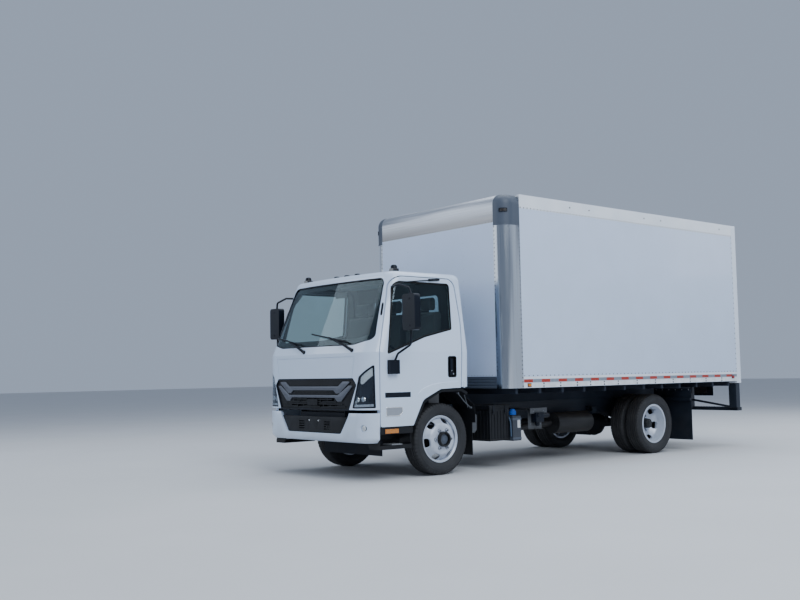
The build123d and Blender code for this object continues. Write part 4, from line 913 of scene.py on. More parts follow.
for name, side in NAMED_SIDES:
    door = f"{name}_door"
    skin = on_side(side)

    skin_band(WINDOW, 0.0006, 0.02, -0.0117, 0.0018, skin, 6, 10)
    piece(f"window_seal_{name}", seal_black, door, bevel=0.0025)
    # Seal behind the gap round the door, carried by the cab
    skin_band(DOOR, -0.01, 0.012, -0.071, -0.066, skin, 4, 10)
    piece(f"door_frame_seal_{name}", seal_black)

    # Handle: liner of the recess, grip and lock
    skin_band(HANDLE, -0.007, 0.003, -0.0005, 0.002, skin, 4)
    outer, inner = [rounded(drawn_in(HANDLE, amount), 4) for amount in (0.0004, 0.003)]
    rim = [skin(y, z, 0.0) for y, z in outer]
    floor_out = [(side * HANDLE_FLOOR, y, z) for y, z in outer]
    floor_in = [(side * (HANDLE_FLOOR + 0.001), y, z) for y, z in inner]
    rim_in = [skin(y, z, -0.001) for y, z in inner]
    for pair in ((rim, floor_out), (rim_in, floor_in), (rim, rim_in)):
        rings(pair, caps=False)
    for outline in (floor_out, floor_in):
        mesh.faces.new([mesh.verts.new(point) for point in outline])
    piece(f"handle_liner_{name}", seal_black, door, bevel=0.0008)
    block((side * HANDLE_FLOOR, side * 1.0385), (0.065, 0.105), (1.144, 1.296))
    block((side * HANDLE_FLOOR, side * 1.033), (0.058, 0.13), (1.108, 1.141))
    piece(f"handle_grip_{name}", trim_black, door, bevel=0.005)
    rod((side * 1.03, 0.112, 1.1245), (side * 1.0345, 0.112, 1.1245), 0.009, 20, 0.008)
    rod((side * 1.038, 0.085, 1.16), (side * 1.0395, 0.085, 1.16), 0.006, 16, 0.005)
    piece(f"handle_lock_{name}", chrome, door)

    # Mirror: frame and glass on its rear face
    outer, inner, glass = [mirrored(side, rounded(drawn_in(MIRROR, amount), 6)) for amount in (0.006, 0.014, 0.0145)]
    loop_section([[(x, MIRROR_BACK + lift, z) for x, z in outline] for outline, lift in
                  ((outer, -0.001), (outer, 0.005), (inner, 0.005), (inner, -0.001))])
    for z in (1.64, 1.925):
        rod((side * 1.31, MIRROR_BACK - 0.081, z), (side * 1.31, MIRROR_BACK - 0.086, z), 0.012, 12, 0.01)
    piece(f"mirror_rim_{name}", trim_black, door, bevel=0.0015)
    rings([[(x, MIRROR_BACK + lift, z) for x, z in glass] for lift in (-0.001, 0.0015)])
    piece(f"mirror_glass_{name}", mirror_silver, door)

    # Side lamp with its bright rim, bare trim strip, and the crease above the arch
    skin_band(SIDE_LAMP, 0.0, 0.009, -0.001, 0.006, skin, 4, 4)
    piece(f"side_lamp_rim_{name}", chrome, door, bevel=0.002)
    skin_plate(rounded(drawn_in(SIDE_LAMP, 0.0088), 4), -0.001, 0.0035, skin)
    piece(f"side_lamp_lens_{name}", clear_ribs, door)
    skin_plate(rounded(TRIM_STRIP, 3), -0.001, 0.0018, skin)
    piece(f"door_trim_strip_{name}", trim_black, door, bevel=0.0006)
    crease(skin, ARCH_CREASE)
    piece(f"door_crease_{name}", cab_white, door)
    crease(skin, [(y, 1.038) for y in (0.262, 0.2625, 0.284, 0.2845)])
    piece(f"cab_side_crease_{name}", cab_white)

    # Amber lamp on the upper step board, and a gripping plate on the step
    block((side * 1.0175, side * 1.0215), (-0.884, -0.687), (0.5, 0.559))
    piece(f"step_lamp_housing_{name}", trim_black, bevel=0.002)
    block((side * 1.021, side * 1.027), (-0.878, -0.693), (0.506, 0.553))
    piece(f"step_lamp_lens_{name}", amber_lens, bevel=0.003)
    block((side * 0.838, side * 0.992), (-0.765, -0.619), (0.379, 0.387))
    for x in (0.86, 0.895, 0.93, 0.965):
        stud_row((side * x, -0.745, 0.387), (side * x, -0.64, 0.387), 0.035, (0, 0, 1), 0.009, 0.005)
    piece(f"step_grips_{name}", step_bright, bevel=0.001)

# Aerial on the left door's frame
tube([(0.9905, -0.6, 2.118), (0.99, -0.565, 2.132), (0.983, -0.18, 2.171), (0.981, -0.11, 2.176)], 0.0065, 10)
rod((0.9825, -0.185, 2.1715), (0.981, -0.03, 2.1835), 0.015, 14, 0.013, 0.004)
for y, z in ((-0.575, 2.128), (-0.06, 2.181)):
    rod((0.96, y, z - 0.004), (0.985, y, z), 0.006, 10)
piece("aerial", trim_black, "left_door")

# Inside mirror on the windscreen
rod((0.0, -0.69, 2.13), (0.0, -0.655, 2.075), 0.006, 10)
block((-0.115, 0.115), (-0.672, -0.65), (2.02, 2.085))
piece("inside_mirror", trim_black, bevel=0.008)


# Load body: rivets, bolts, tape and lamps

RIVET_PITCH = 0.05
TAPE_PITCH = 0.305
AHEAD = (0, -1, 0)
LEFT_RIGHT = {side: (side, 0, 0) for side in SIDES}


def side_row(side, start_y, end_y, low, high, pitch, radius):
    """Row of rivets on the body's side."""
    skin = side * (BODY_HALF + 0.0002)
    stud_row((skin, start_y, low), (skin, end_y, high), pitch, LEFT_RIGHT[side], radius)


# Both edges of the bright post
for side in SIDES:
    edge = side * (POST_INNER + 0.012)
    side_row(side, POST_BACK - 0.012, POST_BACK - 0.012, 0.965, 2.845, RIVET_PITCH, 0.0095)
    stud_row((edge, BODY_FRONT, 1.1), (edge, BODY_FRONT, 2.845), RIVET_PITCH, AHEAD, 0.0095)
piece("post_rivets", rivet_steel)

for side in SIDES:
    side_row(side, POST_BACK + 0.02, REAR_FRAME - 0.02, 3.08, 3.08, 0.06, 0.0095)
    side_row(side, POST_BACK + 0.02, REAR_FRAME - 0.02, 1.086, 1.086, 0.075, 0.0085)
    side_row(side, REAR_FRAME - 0.012, REAR_FRAME - 0.012, 1.12, 3.05, 0.075, 0.0085)
for z in (2.912, 1.098):
    stud_row((-POST_INNER + 0.02, BODY_FRONT, z), (POST_INNER - 0.02, BODY_FRONT, z), RIVET_PITCH, AHEAD, 0.0048)
for x in (-0.52, 0.0, 0.52):
    stud_row((x, BODY_FRONT, 1.15), (x, BODY_FRONT, 2.86), 0.15, AHEAD, 0.0035, 0.0012)
piece("panel_rivets", rivet_steel, slot="body_panel")

# Pairs of bolts through the bottom rail, and single ones through the top rail
for side in SIDES:
    for y in (1.407, 1.71, 2.019, 2.272, 2.543, 2.825, 3.221, 3.621, 4.022, 4.422, 4.81, 5.211):
        for z in (0.958, 0.992):
            stud((side * BODY_HALF, y, z), LEFT_RIGHT[side], 0.0115, 0.005, 8)
    for y in (1.976, 2.349, 3.498, 3.874, 5.305):
        stud((side * BODY_HALF, y, 3.16), LEFT_RIGHT[side], 0.011, 0.004, 8)
piece("rail_bolts", trim_black, slot="chassis_paint")

# Beads of the bottom rail, above and below the tape and at its lower edge
for side in SIDES:
    for low, high in ((1.046, 1.052), (0.999, 1.003), (0.942, 0.947)):
        block((side * (BODY_HALF - 0.001), side * (BODY_HALF + 0.003)), (POST_BACK + 0.001, REAR_FRAME - 0.001),
              (low, high))
piece("rail_beads", rail_white, bevel=0.0012)

TAPES = (("red", tape_red, 0.0), ("silver", tape_silver, TAPE_PITCH / 2))
for name, finish, shift in TAPES:
    for side in SIDES:
        for step in range(15):
            start = POST_BACK + 0.006 + step * TAPE_PITCH + shift
            end = min(start + TAPE_PITCH / 2, REAR_FRAME - 0.004)
            if end > start + 0.01:
                block((side * (BODY_HALF - 0.0005), side * (BODY_HALF + 0.0008)), (start, end), (1.005, 1.044))
    piece(f"tape_{name}", finish)

# Housings round the side marker lamps
for side in SIDES:
    for y, z in ((1.155, 0.975), (5.505, 1.004)):
        block((side * (BODY_HALF - 0.001), side * (BODY_HALF + 0.005)), (y - 0.033, y + 0.033), (z - 0.022, z + 0.022))
piece("marker_housings", trim_black, bevel=0.002)


def on_casting(side):
    """Places outside the round corner of the castings: angle from the front, and height."""
    def place(turn, z, lift):
        radius = 0.15 + lift
        return (side * (BODY_HALF - 0.15 + radius * sin(turn)), BODY_FRONT + 0.15 - radius * cos(turn), z)
    return place


# Oblong lamps on the corner castings
for name, side in NAMED_SIDES:
    place = on_casting(side)
    outer = rounded(((0.42, 3.012, 0.016), (0.42, 3.058, 0.016), (1.08, 3.058, 0.016), (1.08, 3.012, 0.016)), 4, 8)
    inner = rounded(((0.48, 3.019, 0.01), (0.48, 3.051, 0.01), (1.02, 3.051, 0.01), (1.02, 3.019, 0.01)), 4, 8)
    skin_ring(outer, inner, -0.002, 0.009, place)
    piece(f"casting_lamp_rim_{name}", trim_black, bevel=0.002)
    skin_plate(inner, -0.002, 0.006, place, 0.1)
    piece(f"casting_lamp_lens_{name}", smoked_amber)

# Lips where the castings meet the posts
for side in SIDES:
    near, far = [[(side * POST_INNER, BODY_FRONT - lift)]
                 + [on_casting(side)(pi / 2 * k / 12, 0, lift)[:2] for k in range(13)]
                 + [(side * (BODY_HALF + lift), POST_BACK)] for lift in (0.0, 0.003)]
    rings([[(*a, 2.86), (*b, 2.86), (*b, 2.872), (*a, 2.872)] for a, b in zip(near, far)])
piece("casting_lips", casting_grey, bevel=0.001)

# Roof bows under the sheet and rivets along the roof's edges
for step in range(7):
    y = POST_BACK + 0.35 + step * 0.61
    block((-1.185, 1.185), (y - 0.02, y + 0.02), (3.2245, 3.2275))
for x in (-1.204, 1.204):
    stud_row((x, POST_BACK + 0.02, BODY_TOP - 0.0025), (x, REAR_FRAME - 0.02, BODY_TOP - 0.0025),
             0.1, (0, 0, 1), 0.006, 0.0024)
piece("roof_bows", roof_sheet, bevel=0.001)


# Tyres with grooved treads, and the hubs' caps and rings

TYRE_SHOULDER = 0.078
# Outer half of a tyre: distance from its middle, and radius, from the bead to the tread's middle
TYRE_HALF = (
    (0.07, 0.2465), (0.0765, 0.25), (0.08, 0.262), (0.084, 0.268), (0.0862, 0.272), (0.0882, 0.2722),
    (0.095, 0.286), (0.1022, 0.299), (0.1042, 0.3), (0.1056, 0.3042), (0.1048, 0.3062), (0.1095, 0.318),
    (0.1115, 0.332), (0.1112, 0.344), (0.113, 0.3462), (0.113, 0.35), (0.1098, 0.3525), (0.1062, 0.366),
    (0.1015, 0.38), (0.0975, 0.3875), (0.0925, 0.393), (0.086, 0.3967), (TYRE_SHOULDER, 0.3983),
    (0.057, 0.3995), (0.055, 0.3895), (0.048, 0.3895), (0.046, 0.3999),
    (0.019, 0.4), (0.017, 0.3895), (0.01, 0.3895), (0.008, 0.4),
)
TYRE_LUGS = 56
# Sections of a lug: share of its length, whether the shoulder is notched, and the grooves' shift
LUG_SECTIONS = ((0.0, False, 0.0016), (0.46, False, -0.0016), (0.72, False, -0.0016), (0.76, True, 0.0),
                (0.95, True, 0.0016))
FRONT_WHEEL_X = 0.8325
REAR_WHEEL_X = (0.698, 0.952)
REAR_HUB_X = 0.825
NUT_CIRCLE = 0.111125


def grooved_tyre(x, y):
    """Tyre with four zigzag grooves, notched shoulders and ribbed side walls."""
    profile = TYRE_HALF + tuple((-reach, radius) for reach, radius in reversed(TYRE_HALF))
    loops = []
    for lug in range(TYRE_LUGS):
        for share, notch, shift in LUG_SECTIONS:
            turn = 2 * pi * (lug + share) / TYRE_LUGS
            loop = []
            for reach, radius in profile:
                if notch and TYRE_SHOULDER - 0.001 < abs(reach) < 0.103 and radius > 0.37:
                    reach -= 0.0022 if reach > 0 else -0.0022
                    radius -= 0.0065
                if radius > 0.385 and abs(reach) < 0.06:
                    reach += shift
                loop.append((x + reach, y + radius * cos(turn), AXLE_HEIGHT + radius * sin(turn)))
            loops.append(loop)
    loop_section(loops)


def wheel_studs(side, face, y):
    """Threaded ends and washers of the six wheel nuts."""
    for k in range(6):
        turn = pi / 3 * k
        at = (side * face, y + NUT_CIRCLE * cos(turn), AXLE_HEIGHT + NUT_CIRCLE * sin(turn))
        for start, end, *form in ((0.0005, 0.0035, 0.0215, 20, 0.0205), (0.019, 0.0215, 0.014, 20, 0.0125),
                                  (0.02, 0.031, 0.0088, 14, 0.008, 0.001)):
            rod(off(at, side * start, 0, 0), off(at, side * end, 0, 0), *form)


for name, side in NAMED_SIDES:
    front, rear = f"{name}_front_wheel", f"{name}_rear_wheels"
    grooved_tyre(side * FRONT_WHEEL_X, 0.0)
    piece(f"grooved_front_tyre_{name}", tyre_rubber, front, stands_for=[f"front_tyre_{name}"])
    for x in REAR_WHEEL_X:
        grooved_tyre(side * x, WHEELBASE)
    piece(f"grooved_rear_tyres_{name}", tyre_rubber, rear, stands_for=[f"rear_tyres_{name}"])

    # Front hub: black ring with a grey cap inside, wheel studs, and the valve
    centre = (side * FRONT_WHEEL_X, 0.0, AXLE_HEIGHT)
    turned(((0.128, 0.085), (0.165, 0.0838), (0.17, 0.0815), (0.1715, 0.078), (0.1712, 0.069),
            (0.169, 0.0655), (0.137, 0.0648), (0.128, 0.0648)), centre, side)
    piece(f"hub_ring_{name}", hub_black, front)
    turned(((0.1355, 0.0), (0.1355, 0.058), (0.14, 0.0585), (0.1435, 0.056), (0.1445, 0.052),
            (0.1445, 0.035), (0.148, 0.033), (0.149, 0.03), (0.149, 0.0)), centre, side, 40)
    stud_circle(off(centre, side * 0.1445, 0, 0), 0.0465, 6, side, 0.0042, 0.003, pi / 6)
    piece(f"hub_cap_{name}", casting_grey, front, "bright_metal")
    wheel_studs(side, FRONT_WHEEL_X + 0.127, 0.0)
    rod(off(centre, side * 0.062, -0.15, 0.172), off(centre, side * 0.1, -0.148, 0.17), 0.0048, 12, 0.0042, 0.002)
    piece(f"front_wheel_studs_{name}", nut_steel, front)

    # Rear hub: black cover with a bolted flange
    centre = (side * REAR_HUB_X, WHEELBASE, AXLE_HEIGHT)
    turned(((0.012, 0.0), (0.012, 0.083), (0.0325, 0.0815), (0.035, 0.079), (0.0362, 0.0735), (0.13, 0.0625),
            (0.134, 0.059), (0.134, 0.044), (0.1375, 0.042), (0.139, 0.039), (0.139, 0.0)), centre, side, 44)
    stud_circle(off(centre, side * 0.134, 0, 0), 0.0515, 8, side, 0.0055, 0.005)
    piece(f"rear_hub_cover_{name}", hub_black, rear)
    wheel_studs(side, REAR_HUB_X + 0.011, WHEELBASE)
    rod(off(centre, side * 0.063, 0.15, 0.172), off(centre, side * 0.13, 0.152, 0.176), 0.0048, 12, 0.0042, 0.002)
    piece(f"rear_wheel_studs_{name}", nut_steel, rear)


# Chassis: bolts, dampers, brake parts, tank straps and what hangs behind the cab

# Bolts of each spring seat: x and y of the spring, and its lowest and highest leaf
for side in SIDES:
    for x, y, low, high in ((0.39, 0.0, 0.325, 0.44), (0.495, WHEELBASE, 0.33, 0.556)):
        for along in (-0.045, 0.045):
            for across in (-0.039, 0.039):
                at = (side * (x + across), y + along)
                rod((*at, low - 0.045), (*at, high + 0.004), 0.0075, 12)
                rod((*at, low - 0.03), (*at, low - 0.016), 0.0135, 6)
            rod((side * (x - 0.046), y + along, high + 0.008), (side * (x + 0.046), y + along, high + 0.008),
                0.0085, 12)
        block((side * (x - 0.052), side * (x + 0.052)), (y - 0.062, y + 0.062), (low - 0.016, low - 0.004))
piece("spring_bolts", underside_black, bevel=0.001)

for side in SIDES:
    for x, y, low, high in ((0.515, -0.085, 0.375, 0.735), (0.335, WHEELBASE - 0.12, 0.44, 0.76)):
        bottom, top = Vector((side * x, y, low)), Vector((side * (x - 0.02), y - 0.05, high))
        middle = bottom.lerp(top, 0.52)
        rod(bottom, middle, 0.027, 20)
        rod(middle, middle + (top - bottom) * 0.02, 0.034, 20)
        rod(middle, top, 0.034, 20)
        for end in (bottom, top):
            rod(off(end, -0.03, 0, 0), off(end, 0.03, 0, 0), 0.022)
piece("dampers", underside_black, bevel=0.002)

# Brake cylinders and hoses on the rear axle, and the band round its differential
for side in SIDES:
    centre = (side * 0.285, WHEELBASE + 0.115, AXLE_HEIGHT + 0.1)
    rod(centre, off(centre, 0, 0.075, 0.02), 0.062, 28, 0.074)
    rod(off(centre, 0, 0.078, 0.021), off(centre, 0, 0.15, 0.04), 0.074, 28, 0.058, 0.01)
    tube([off(centre, 0, 0.12, 0.08), off(centre, 0, 0.12, 0.19), off(centre, side * 0.06, 0.02, 0.21)], 0.008, 10)
axle_middle = (0, WHEELBASE, AXLE_HEIGHT)
turned(((-0.012, 0.183), (-0.012, 0.196), (0.012, 0.196), (0.012, 0.183)), axle_middle, 1, 44)
stud_circle(off(axle_middle, 0.012, 0, 0), 0.189, 14, 1, 0.008, 0.007)
piece("rear_brake_parts", underside_black, bevel=0.001)

# Frame rails: rows of holes, rivets, and the bolts of the front springs' eyes
for side in SIDES:
    outer = side * 0.425
    for row in range(4):
        z = 0.575 + 0.046 * row
        stud_row((outer, 1.6, z), (outer, 2.9, z), 0.05, (side, 0, 0), 0.0065, 0.0016)
    stud_row((outer, 4.6, 0.7), (outer, 5.55, 0.7), 0.105, (side, 0, 0), 0.0085, 0.005)
    for eye_y in (-0.6, 0.6):
        for dy, z in ((-0.03, 0.56), (0.03, 0.56), (0.0, 0.59)):
            stud((side * 0.4335, eye_y + dy, z), (side, 0, 0), 0.009, 0.006)
piece("rail_fasteners", rail_fastener)

# Right side: straps and cap of the fuel tank
TANK_IN, TANK_OUT = -0.472, -0.962
strap_outer = rounded(box_outline(TANK_OUT, TANK_IN, 0.328, 0.702, 0.004), 3)
strap_inner = rounded(box_outline(TANK_OUT + 0.005, TANK_IN - 0.005, 0.333, 0.697, 0.002), 3)
for y in (1.16, 1.86):
    loop_section([[(x, y + along, z) for x, z in outline] for outline, along in
                  ((strap_outer, -0.022), (strap_outer, 0.022), (strap_inner, 0.022), (strap_inner, -0.022))])
    rod((TANK_OUT - 0.004, y, 0.6), (TANK_OUT - 0.004, y, 0.66), 0.008, 12)
    stud((TANK_OUT - 0.004, y, 0.668), (0, 0, 1), 0.011, 0.01)
piece("fuel_tank_straps", nut_steel, bevel=0.001)
cap_at = (-0.88, 1.42, 0.698)
rod(cap_at, off(cap_at, -0.01, 0, 0.028), 0.04, 28)
rod(off(cap_at, -0.01, 0, 0.028), off(cap_at, -0.02, 0, 0.054), 0.052, 28, 0.05, 0.006)
for k in range(14):
    turn = 2 * pi * k / 14
    ridge = off(cap_at, -0.015 + 0.05 * cos(turn), 0.051 * sin(turn), 0.04 + 0.017 * cos(turn))
    stud(ridge, (cos(turn), sin(turn), 0.3), 0.006, 0.003)
piece("fuel_tank_cap", trim_black)

# Battery box: lid, foot, ribs and latches
BOX_IN, BOX_OUT, BOX_FRONT, BOX_BACK = 0.52, 0.96, 0.74, 1.06
block((BOX_IN + 0.02, BOX_OUT + 0.006), (BOX_FRONT - 0.006, BOX_BACK + 0.006), (0.7, 0.7485))
for step in range(6):
    y = BOX_FRONT + 0.035 + 0.05 * step
    block((BOX_OUT - 0.002, BOX_OUT + 0.005), (y - 0.006, y + 0.006), (0.35, 0.68))
for step in range(7):
    x = BOX_IN + 0.07 + 0.055 * step
    block((x - 0.006, x + 0.006), (BOX_FRONT - 0.005, BOX_FRONT + 0.002), (0.35, 0.68))
block((BOX_IN + 0.02, BOX_OUT + 0.007), (BOX_FRONT - 0.007, BOX_BACK + 0.007), (0.334, 0.352))
piece("battery_box_lid", grain_black, bevel=0.003)
for y in (BOX_FRONT + 0.06, BOX_BACK - 0.06):
    block((BOX_OUT + 0.005, BOX_OUT + 0.01), (y - 0.014, y + 0.014), (0.64, 0.74))
    rod((BOX_OUT + 0.011, y - 0.018, 0.668), (BOX_OUT + 0.011, y + 0.018, 0.668), 0.006, 12)
block((0.9, 0.935), (BOX_FRONT + 0.1, BOX_FRONT + 0.17), (0.7485, 0.76))
piece("battery_box_latches", underside_black, bevel=0.001)

# Fluid tank: blue cap on its neck, blank label, bands and hoses
FLUID_AT = (0.93, 1.155, 0.61)
rod(off(FLUID_AT, 0, 0, 0.012), off(FLUID_AT, 0, 0, 0.06), 0.044, 32, 0.041)
rod(off(FLUID_AT, 0, 0, 0.06), off(FLUID_AT, 0, 0, 0.078), 0.034, 32, 0.03, 0.006)
for k in range(18):
    turn = 2 * pi * k / 18
    stud(off(FLUID_AT, 0.0425 * cos(turn), 0.0425 * sin(turn), 0.036), (cos(turn), sin(turn), 0), 0.0045, 0.003)
piece("fluid_cap", blue_cap)
block((0.9995, 1.001), (1.165, 1.212), (0.47, 0.575))
piece("fluid_tank_blank_label", white_lens, slot="body_panel")
for z in (0.575, 0.345):
    block((0.64, 1.004), (1.081, 1.229), (z - 0.012, z + 0.012))
piece("fluid_tank_bands", casting_grey, bevel=0.002)
tube([off(FLUID_AT, *shift) for shift in ((-0.06, -0.02, -0.01), (-0.06, -0.035, 0.05), (-0.01, -0.085, 0.04),
                                          (0.05, -0.088, -0.06), (0.052, -0.082, -0.24))], 0.0085)
tube([off(FLUID_AT, -0.1, 0.02, -0.01), off(FLUID_AT, -0.1, 0.02, 0.08), (0.7, 1.2, 0.7), (0.44, 1.25, 0.715)],
     0.0085)
piece("fluid_hoses", hose_blue)

# Dosing pump on a grey bracket behind the fluid tank
PUMP_Y = 1.39
for x, y, z in (
    ((0.93, 1.0), (0.0, 0.3), (0.688, 0.692)),
    ((0.996, 1.0), (0.0, 0.3), (0.625, 0.692)),
    ((0.94, 0.944), (0.02, 0.26), (0.44, 0.692)),
    ((0.94, 0.966), (0.02, 0.26), (0.436, 0.44)),
    ((0.425, 0.94), (0.12, 0.165), (0.66, 0.688)),
):
    block(x, (PUMP_Y + y[0], PUMP_Y + y[1]), z)
piece("pump_bracket", bracket_grey, bevel=0.0015)
block((0.944, 1.03), (PUMP_Y + 0.075, PUMP_Y + 0.215), (0.52, 0.64))
rod((1.03, PUMP_Y + 0.115, 0.605), (1.046, PUMP_Y + 0.115, 0.605), 0.026, 24, 0.022)
rod((0.985, PUMP_Y + 0.215, 0.6), (0.985, PUMP_Y + 0.33, 0.6), 0.036, 24, 0.032, 0.006)
rod((0.985, PUMP_Y + 0.14, 0.52), (0.985, PUMP_Y + 0.14, 0.476), 0.03, 24, 0.026, 0.004)
piece("dosing_pump", trim_black, bevel=0.006)
for x, dy, z in ((0.944, 0.06, 0.5), (0.944, 0.23, 0.5), (1.0, 0.235, 0.655), (1.0, 0.05, 0.655)):
    stud((x, PUMP_Y + dy, z), (1, 0, 0), 0.0085, 0.006)
piece("pump_bolts", nut_steel)

# Stays and splash sheet behind the cab's left corner
STAY = ((0.985, 0.217, 0.905), (0.975, 0.33, 0.8), (0.965, 0.433, 0.735))
tube(STAY, 0.006)
tube(((0.985, 0.225, 0.93), (0.972, 0.3, 0.952), (0.965, 0.39, 0.74)), 0.005)
for end in (STAY[0], STAY[-1]):
    rod(off(end, -0.016, 0, 0), off(end, 0.012, 0, 0), 0.011)
piece("cab_stays", stay_grey)
rings([[(x, y, z) for y, z in ((0.512, 0.7), (0.59, 0.64), (0.585, 0.47), (0.548, 0.44), (0.512, 0.44))]
       for x in (0.895, 0.899)])
block((0.5, 0.899), (0.512, 0.516), (0.455, 0.69))
piece("splash_sheet", bracket_grey, bevel=0.001)


# Rear: roller door's latch, handles, strap, rivets and seal

block((-0.06, 0.06), (DOOR_BACK - 0.001, DOOR_BACK + 0.014), (1.06, 1.2))
rod((0, DOOR_BACK + 0.012, 1.165), (0, DOOR_BACK + 0.026, 1.165), 0.018, 24)
block((-0.014, 0.014), (DOOR_BACK + 0.02, DOOR_BACK + 0.032), (1.151, 1.179))
tube([(0.0, DOOR_BACK + 0.028, 1.165), (0.06, DOOR_BACK + 0.03, 1.13), (0.125, DOOR_BACK + 0.03, 1.095)], 0.009)
for x in (-0.045, 0.045):
    for z in (1.072, 1.188):
        stud((x, DOOR_BACK + 0.014, z), (0, 1, 0), 0.006, 0.003)
piece("door_latch", nut_steel, bevel=0.0015)


def handle(near_side, points, radius, sides, bend):
    """Round bar bent from points of (x, distance behind a face, z)."""
    tube([(x, near_side + away, z) for x, away, z in points], radius, sides, bend)


for x in (-0.42, 0.42):
    for dx in (-0.075, 0.075):
        block((x + dx - 0.015, x + dx + 0.015), (DOOR_BACK - 0.001, DOOR_BACK + 0.005), (1.05, 1.085))
    handle(DOOR_BACK, [(x + dx, away, 1.067) for dx, away in
                       ((-0.075, 0.004), (-0.075, 0.034), (0.075, 0.034), (0.075, 0.004))], 0.0055, 10, 0.012)
piece("door_handles", trim_black, bevel=0.001)

rings([[(x + dx, DOOR_BACK + lift, z) for dx, lift in
        ((-0.018, 0.001), (-0.018, 0.004), (0.018, 0.004), (0.018, 0.001))]
       for x, z in ((-0.18, 1.09), (-0.182, 1.02), (-0.178, 0.995))])
piece("door_strap", flap_black)

# Hinge and roller rows at the seams of the door's seven panels
DOOR_LOW, DOOR_HIGH, DOOR_PANELS = 0.99, 2.96, 7
for seam in range(1, DOOR_PANELS):
    z = DOOR_LOW + (DOOR_HIGH - DOOR_LOW) / DOOR_PANELS * seam
    for x in (-1.04, -0.52, 0.0, 0.52, 1.04):
        for dz in (-0.024, 0.024):
            for dx in (-0.018, 0.018):
                stud((x + dx, DOOR_BACK, z + dz), (0, 1, 0), 0.0055, 0.0028)
piece("door_rivets", body_white)
block((-1.085, 1.085), (DOOR_BACK - 0.004, DOOR_BACK + 0.006), (0.9925, 1.012))
piece("door_bottom_seal", flap_black, bevel=0.002)

# Rear frame: bolts and tape
for side in SIDES:
    for z in (1.02, 1.1, 1.6, 2.1, 2.6, 3.05, 3.17):
        for x in (1.135, 1.195):
            stud((side * x, BODY_REAR, z), (0, 1, 0), 0.008, 0.003)
    for z in (1.3, 1.8, 2.3, 2.8):
        stud((side * BODY_HALF, BODY_REAR - 0.055, z), (side, 0, 0), 0.007, 0.003)
piece("rear_frame_bolts", rail_white)

TAPE_Y = (BODY_REAR - 0.0005, BODY_REAR + 0.0008)
for name, finish, shift in TAPES:
    for step in range(8):
        start = -1.205 + TAPE_PITCH * step + shift
        end = min(start + TAPE_PITCH / 2, 1.205)
        if end > start + 0.02:
            block((start, end), TAPE_Y, (0.95, 0.988))
    low = 3.06 if name == "silver" else 2.9
    for side in SIDES:
        block((side * 1.15, side * 1.2), TAPE_Y, (low, low + 0.15))
    piece(f"rear_tape_{name}", finish)

# Rear lamps: dark trays round the two lamps, with clear reversing panes
for side in SIDES:
    tray = mirrored(side, rounded(box_outline(0.47, 0.795, 0.724, 0.871, 0.012), 4))
    rings([[(x, y, z) for x, z in tray] for y in (5.64, 5.646)])
    for x in (0.478, 0.787):
        for z in (0.733, 0.862):
            stud((side * x, 5.646, z), (0, 1, 0), 0.006, 0.004)
piece("rear_lamp_trays", trim_black, bevel=0.002)
for side in SIDES:
    block((side * 0.708, side * 0.786), (5.645, 5.668), (0.76, 0.85))
piece("reversing_lamps", white_lens, bevel=0.004)

# Grab handles beside the door, and grips on the rear step
for x in (-1.165, 1.165):
    handle(BODY_REAR, [(x, -0.004, 1.33), (x, 0.05, 1.33), (x, 0.05, 1.72), (x, -0.004, 1.72)], 0.011, 14, 0.022)
    for z in (1.33, 1.72):
        rod((x, BODY_REAR - 0.001, z), (x, BODY_REAR + 0.004, z), 0.024, 20)
piece("grab_handles", nut_steel)
STEP_TOP = 0.555
for away in (-0.008, 0.022, 0.052):
    stud_row((-1.13, BODY_REAR + away, STEP_TOP), (1.13, BODY_REAR + away, STEP_TOP), 0.045, (0, 0, 1), 0.01, 0.004, 8)
piece("rear_step_grips", frame_black)

# Strips and bolts that hold the mud flaps
for side in SIDES:
    block((side * 0.6, side * 1.195), (4.4565, 4.46), (0.825, 0.858))
    for y, outward, height in ((4.46, 1, 0.006), (4.45, -1, 0.004)):
        stud_row((side * 0.63, y, 0.841), (side * 1.165, y, 0.841), 0.107, (0, outward, 0), 0.009, height)
piece("mud_flap_strips", nut_steel, bevel=0.001)
mesh.free()


# Floor, light and camera

floor_finish = Finish("studio_floor", (0.62, 0.62, 0.62), 0.85)
floor_finish.feed("Base Color", floor_finish.mix(floor_finish.noise(0.8, 4.0), (0.58, 0.58, 0.585), (0.64, 0.64, 0.64)))
bpy.ops.mesh.primitive_plane_add(size=160.0, location=(0, 0, 0))
floor = bpy.context.object
floor.name = "studio_floor"
floor.data.materials.append(floor_finish.material)

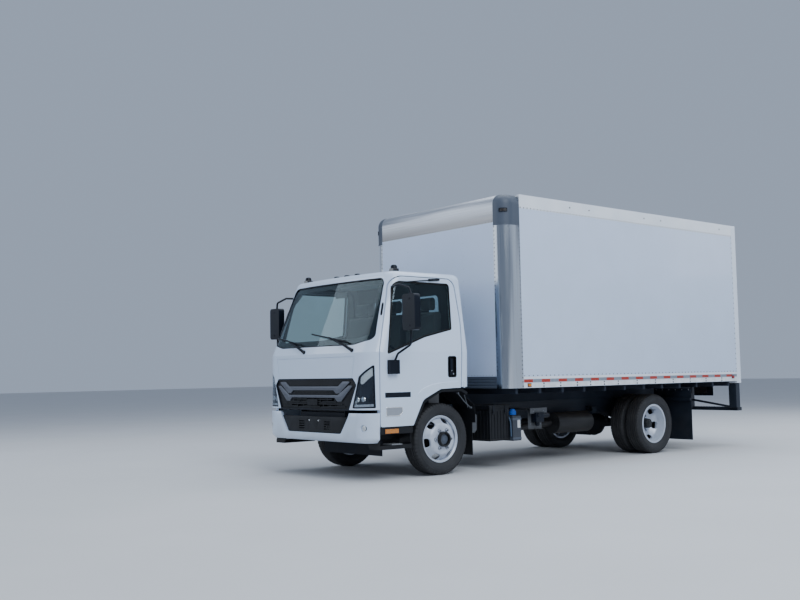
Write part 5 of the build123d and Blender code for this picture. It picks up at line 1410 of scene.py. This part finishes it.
world = bpy.data.worlds.new("studio_sky")
bpy.context.scene.world = world
world.use_nodes = True
sky = world.node_tree.nodes["Background"]
sky.inputs[0].default_value = (0.6, 0.72, 0.94, 1)
sky.inputs[1].default_value = 0.55

# Lights: name, place, aim, size, power
for name, place, aim, size, power in (
    ("key", (11.5, -5.0, 10.0), (0, 0, 1), 9.0, 1430),
    ("fill", (-7.0, -11.0, 6.0), (0, -1, 1), 8.0, 360),
    ("top", (0.0, 1.0, 13.0), (0, 0, 0), 12.0, 1100),
    ("rear", (4.0, 12.0, 7.0), (0, 2, 1), 8.0, 600),
):
    light = bpy.data.lights.new(name, "AREA")
    light.size = size
    light.energy = power
    light.color = (0.86, 0.93, 1.0)
    holder = bpy.data.objects.new(name, light)
    bpy.context.scene.collection.objects.link(holder)
    holder.location = place
    holder.rotation_euler = (Vector(place) - Vector(aim)).to_track_quat("Z", "Y").to_euler()

# Camera of the photograph, as fitted; the focal length is in pixels
CAMERA_PLACE = (9.1123, AXLE_Y - 7.4094, 1.1386)
CAMERA_YAW, CAMERA_PITCH, CAMERA_ROLL = radians(50.089), radians(4.2927), radians(-1.0211)
FOCAL_PIXELS, PHOTO_WIDTH, SENSOR_WIDTH = 978.4475, 800.0, 36.0
camera_data = bpy.data.cameras.new("photo_view")
camera_data.sensor_width = SENSOR_WIDTH
camera_data.lens = SENSOR_WIDTH * FOCAL_PIXELS / PHOTO_WIDTH
camera = bpy.data.objects.new("photo_view", camera_data)
bpy.context.scene.collection.objects.link(camera)
bpy.context.scene.camera = camera
back = Vector((sin(CAMERA_YAW) * cos(CAMERA_PITCH), -cos(CAMERA_YAW) * cos(CAMERA_PITCH), -sin(CAMERA_PITCH)))
right = (-back).cross(Vector((0, 0, 1))).normalized()
up = right.cross(-back)
side_axis = cos(CAMERA_ROLL) * right + sin(CAMERA_ROLL) * up
up_axis = -sin(CAMERA_ROLL) * right + cos(CAMERA_ROLL) * up
camera.matrix_world = Matrix([(*axis, 0) for axis in (side_axis, up_axis, back)] + [(*CAMERA_PLACE, 1)]).transposed()
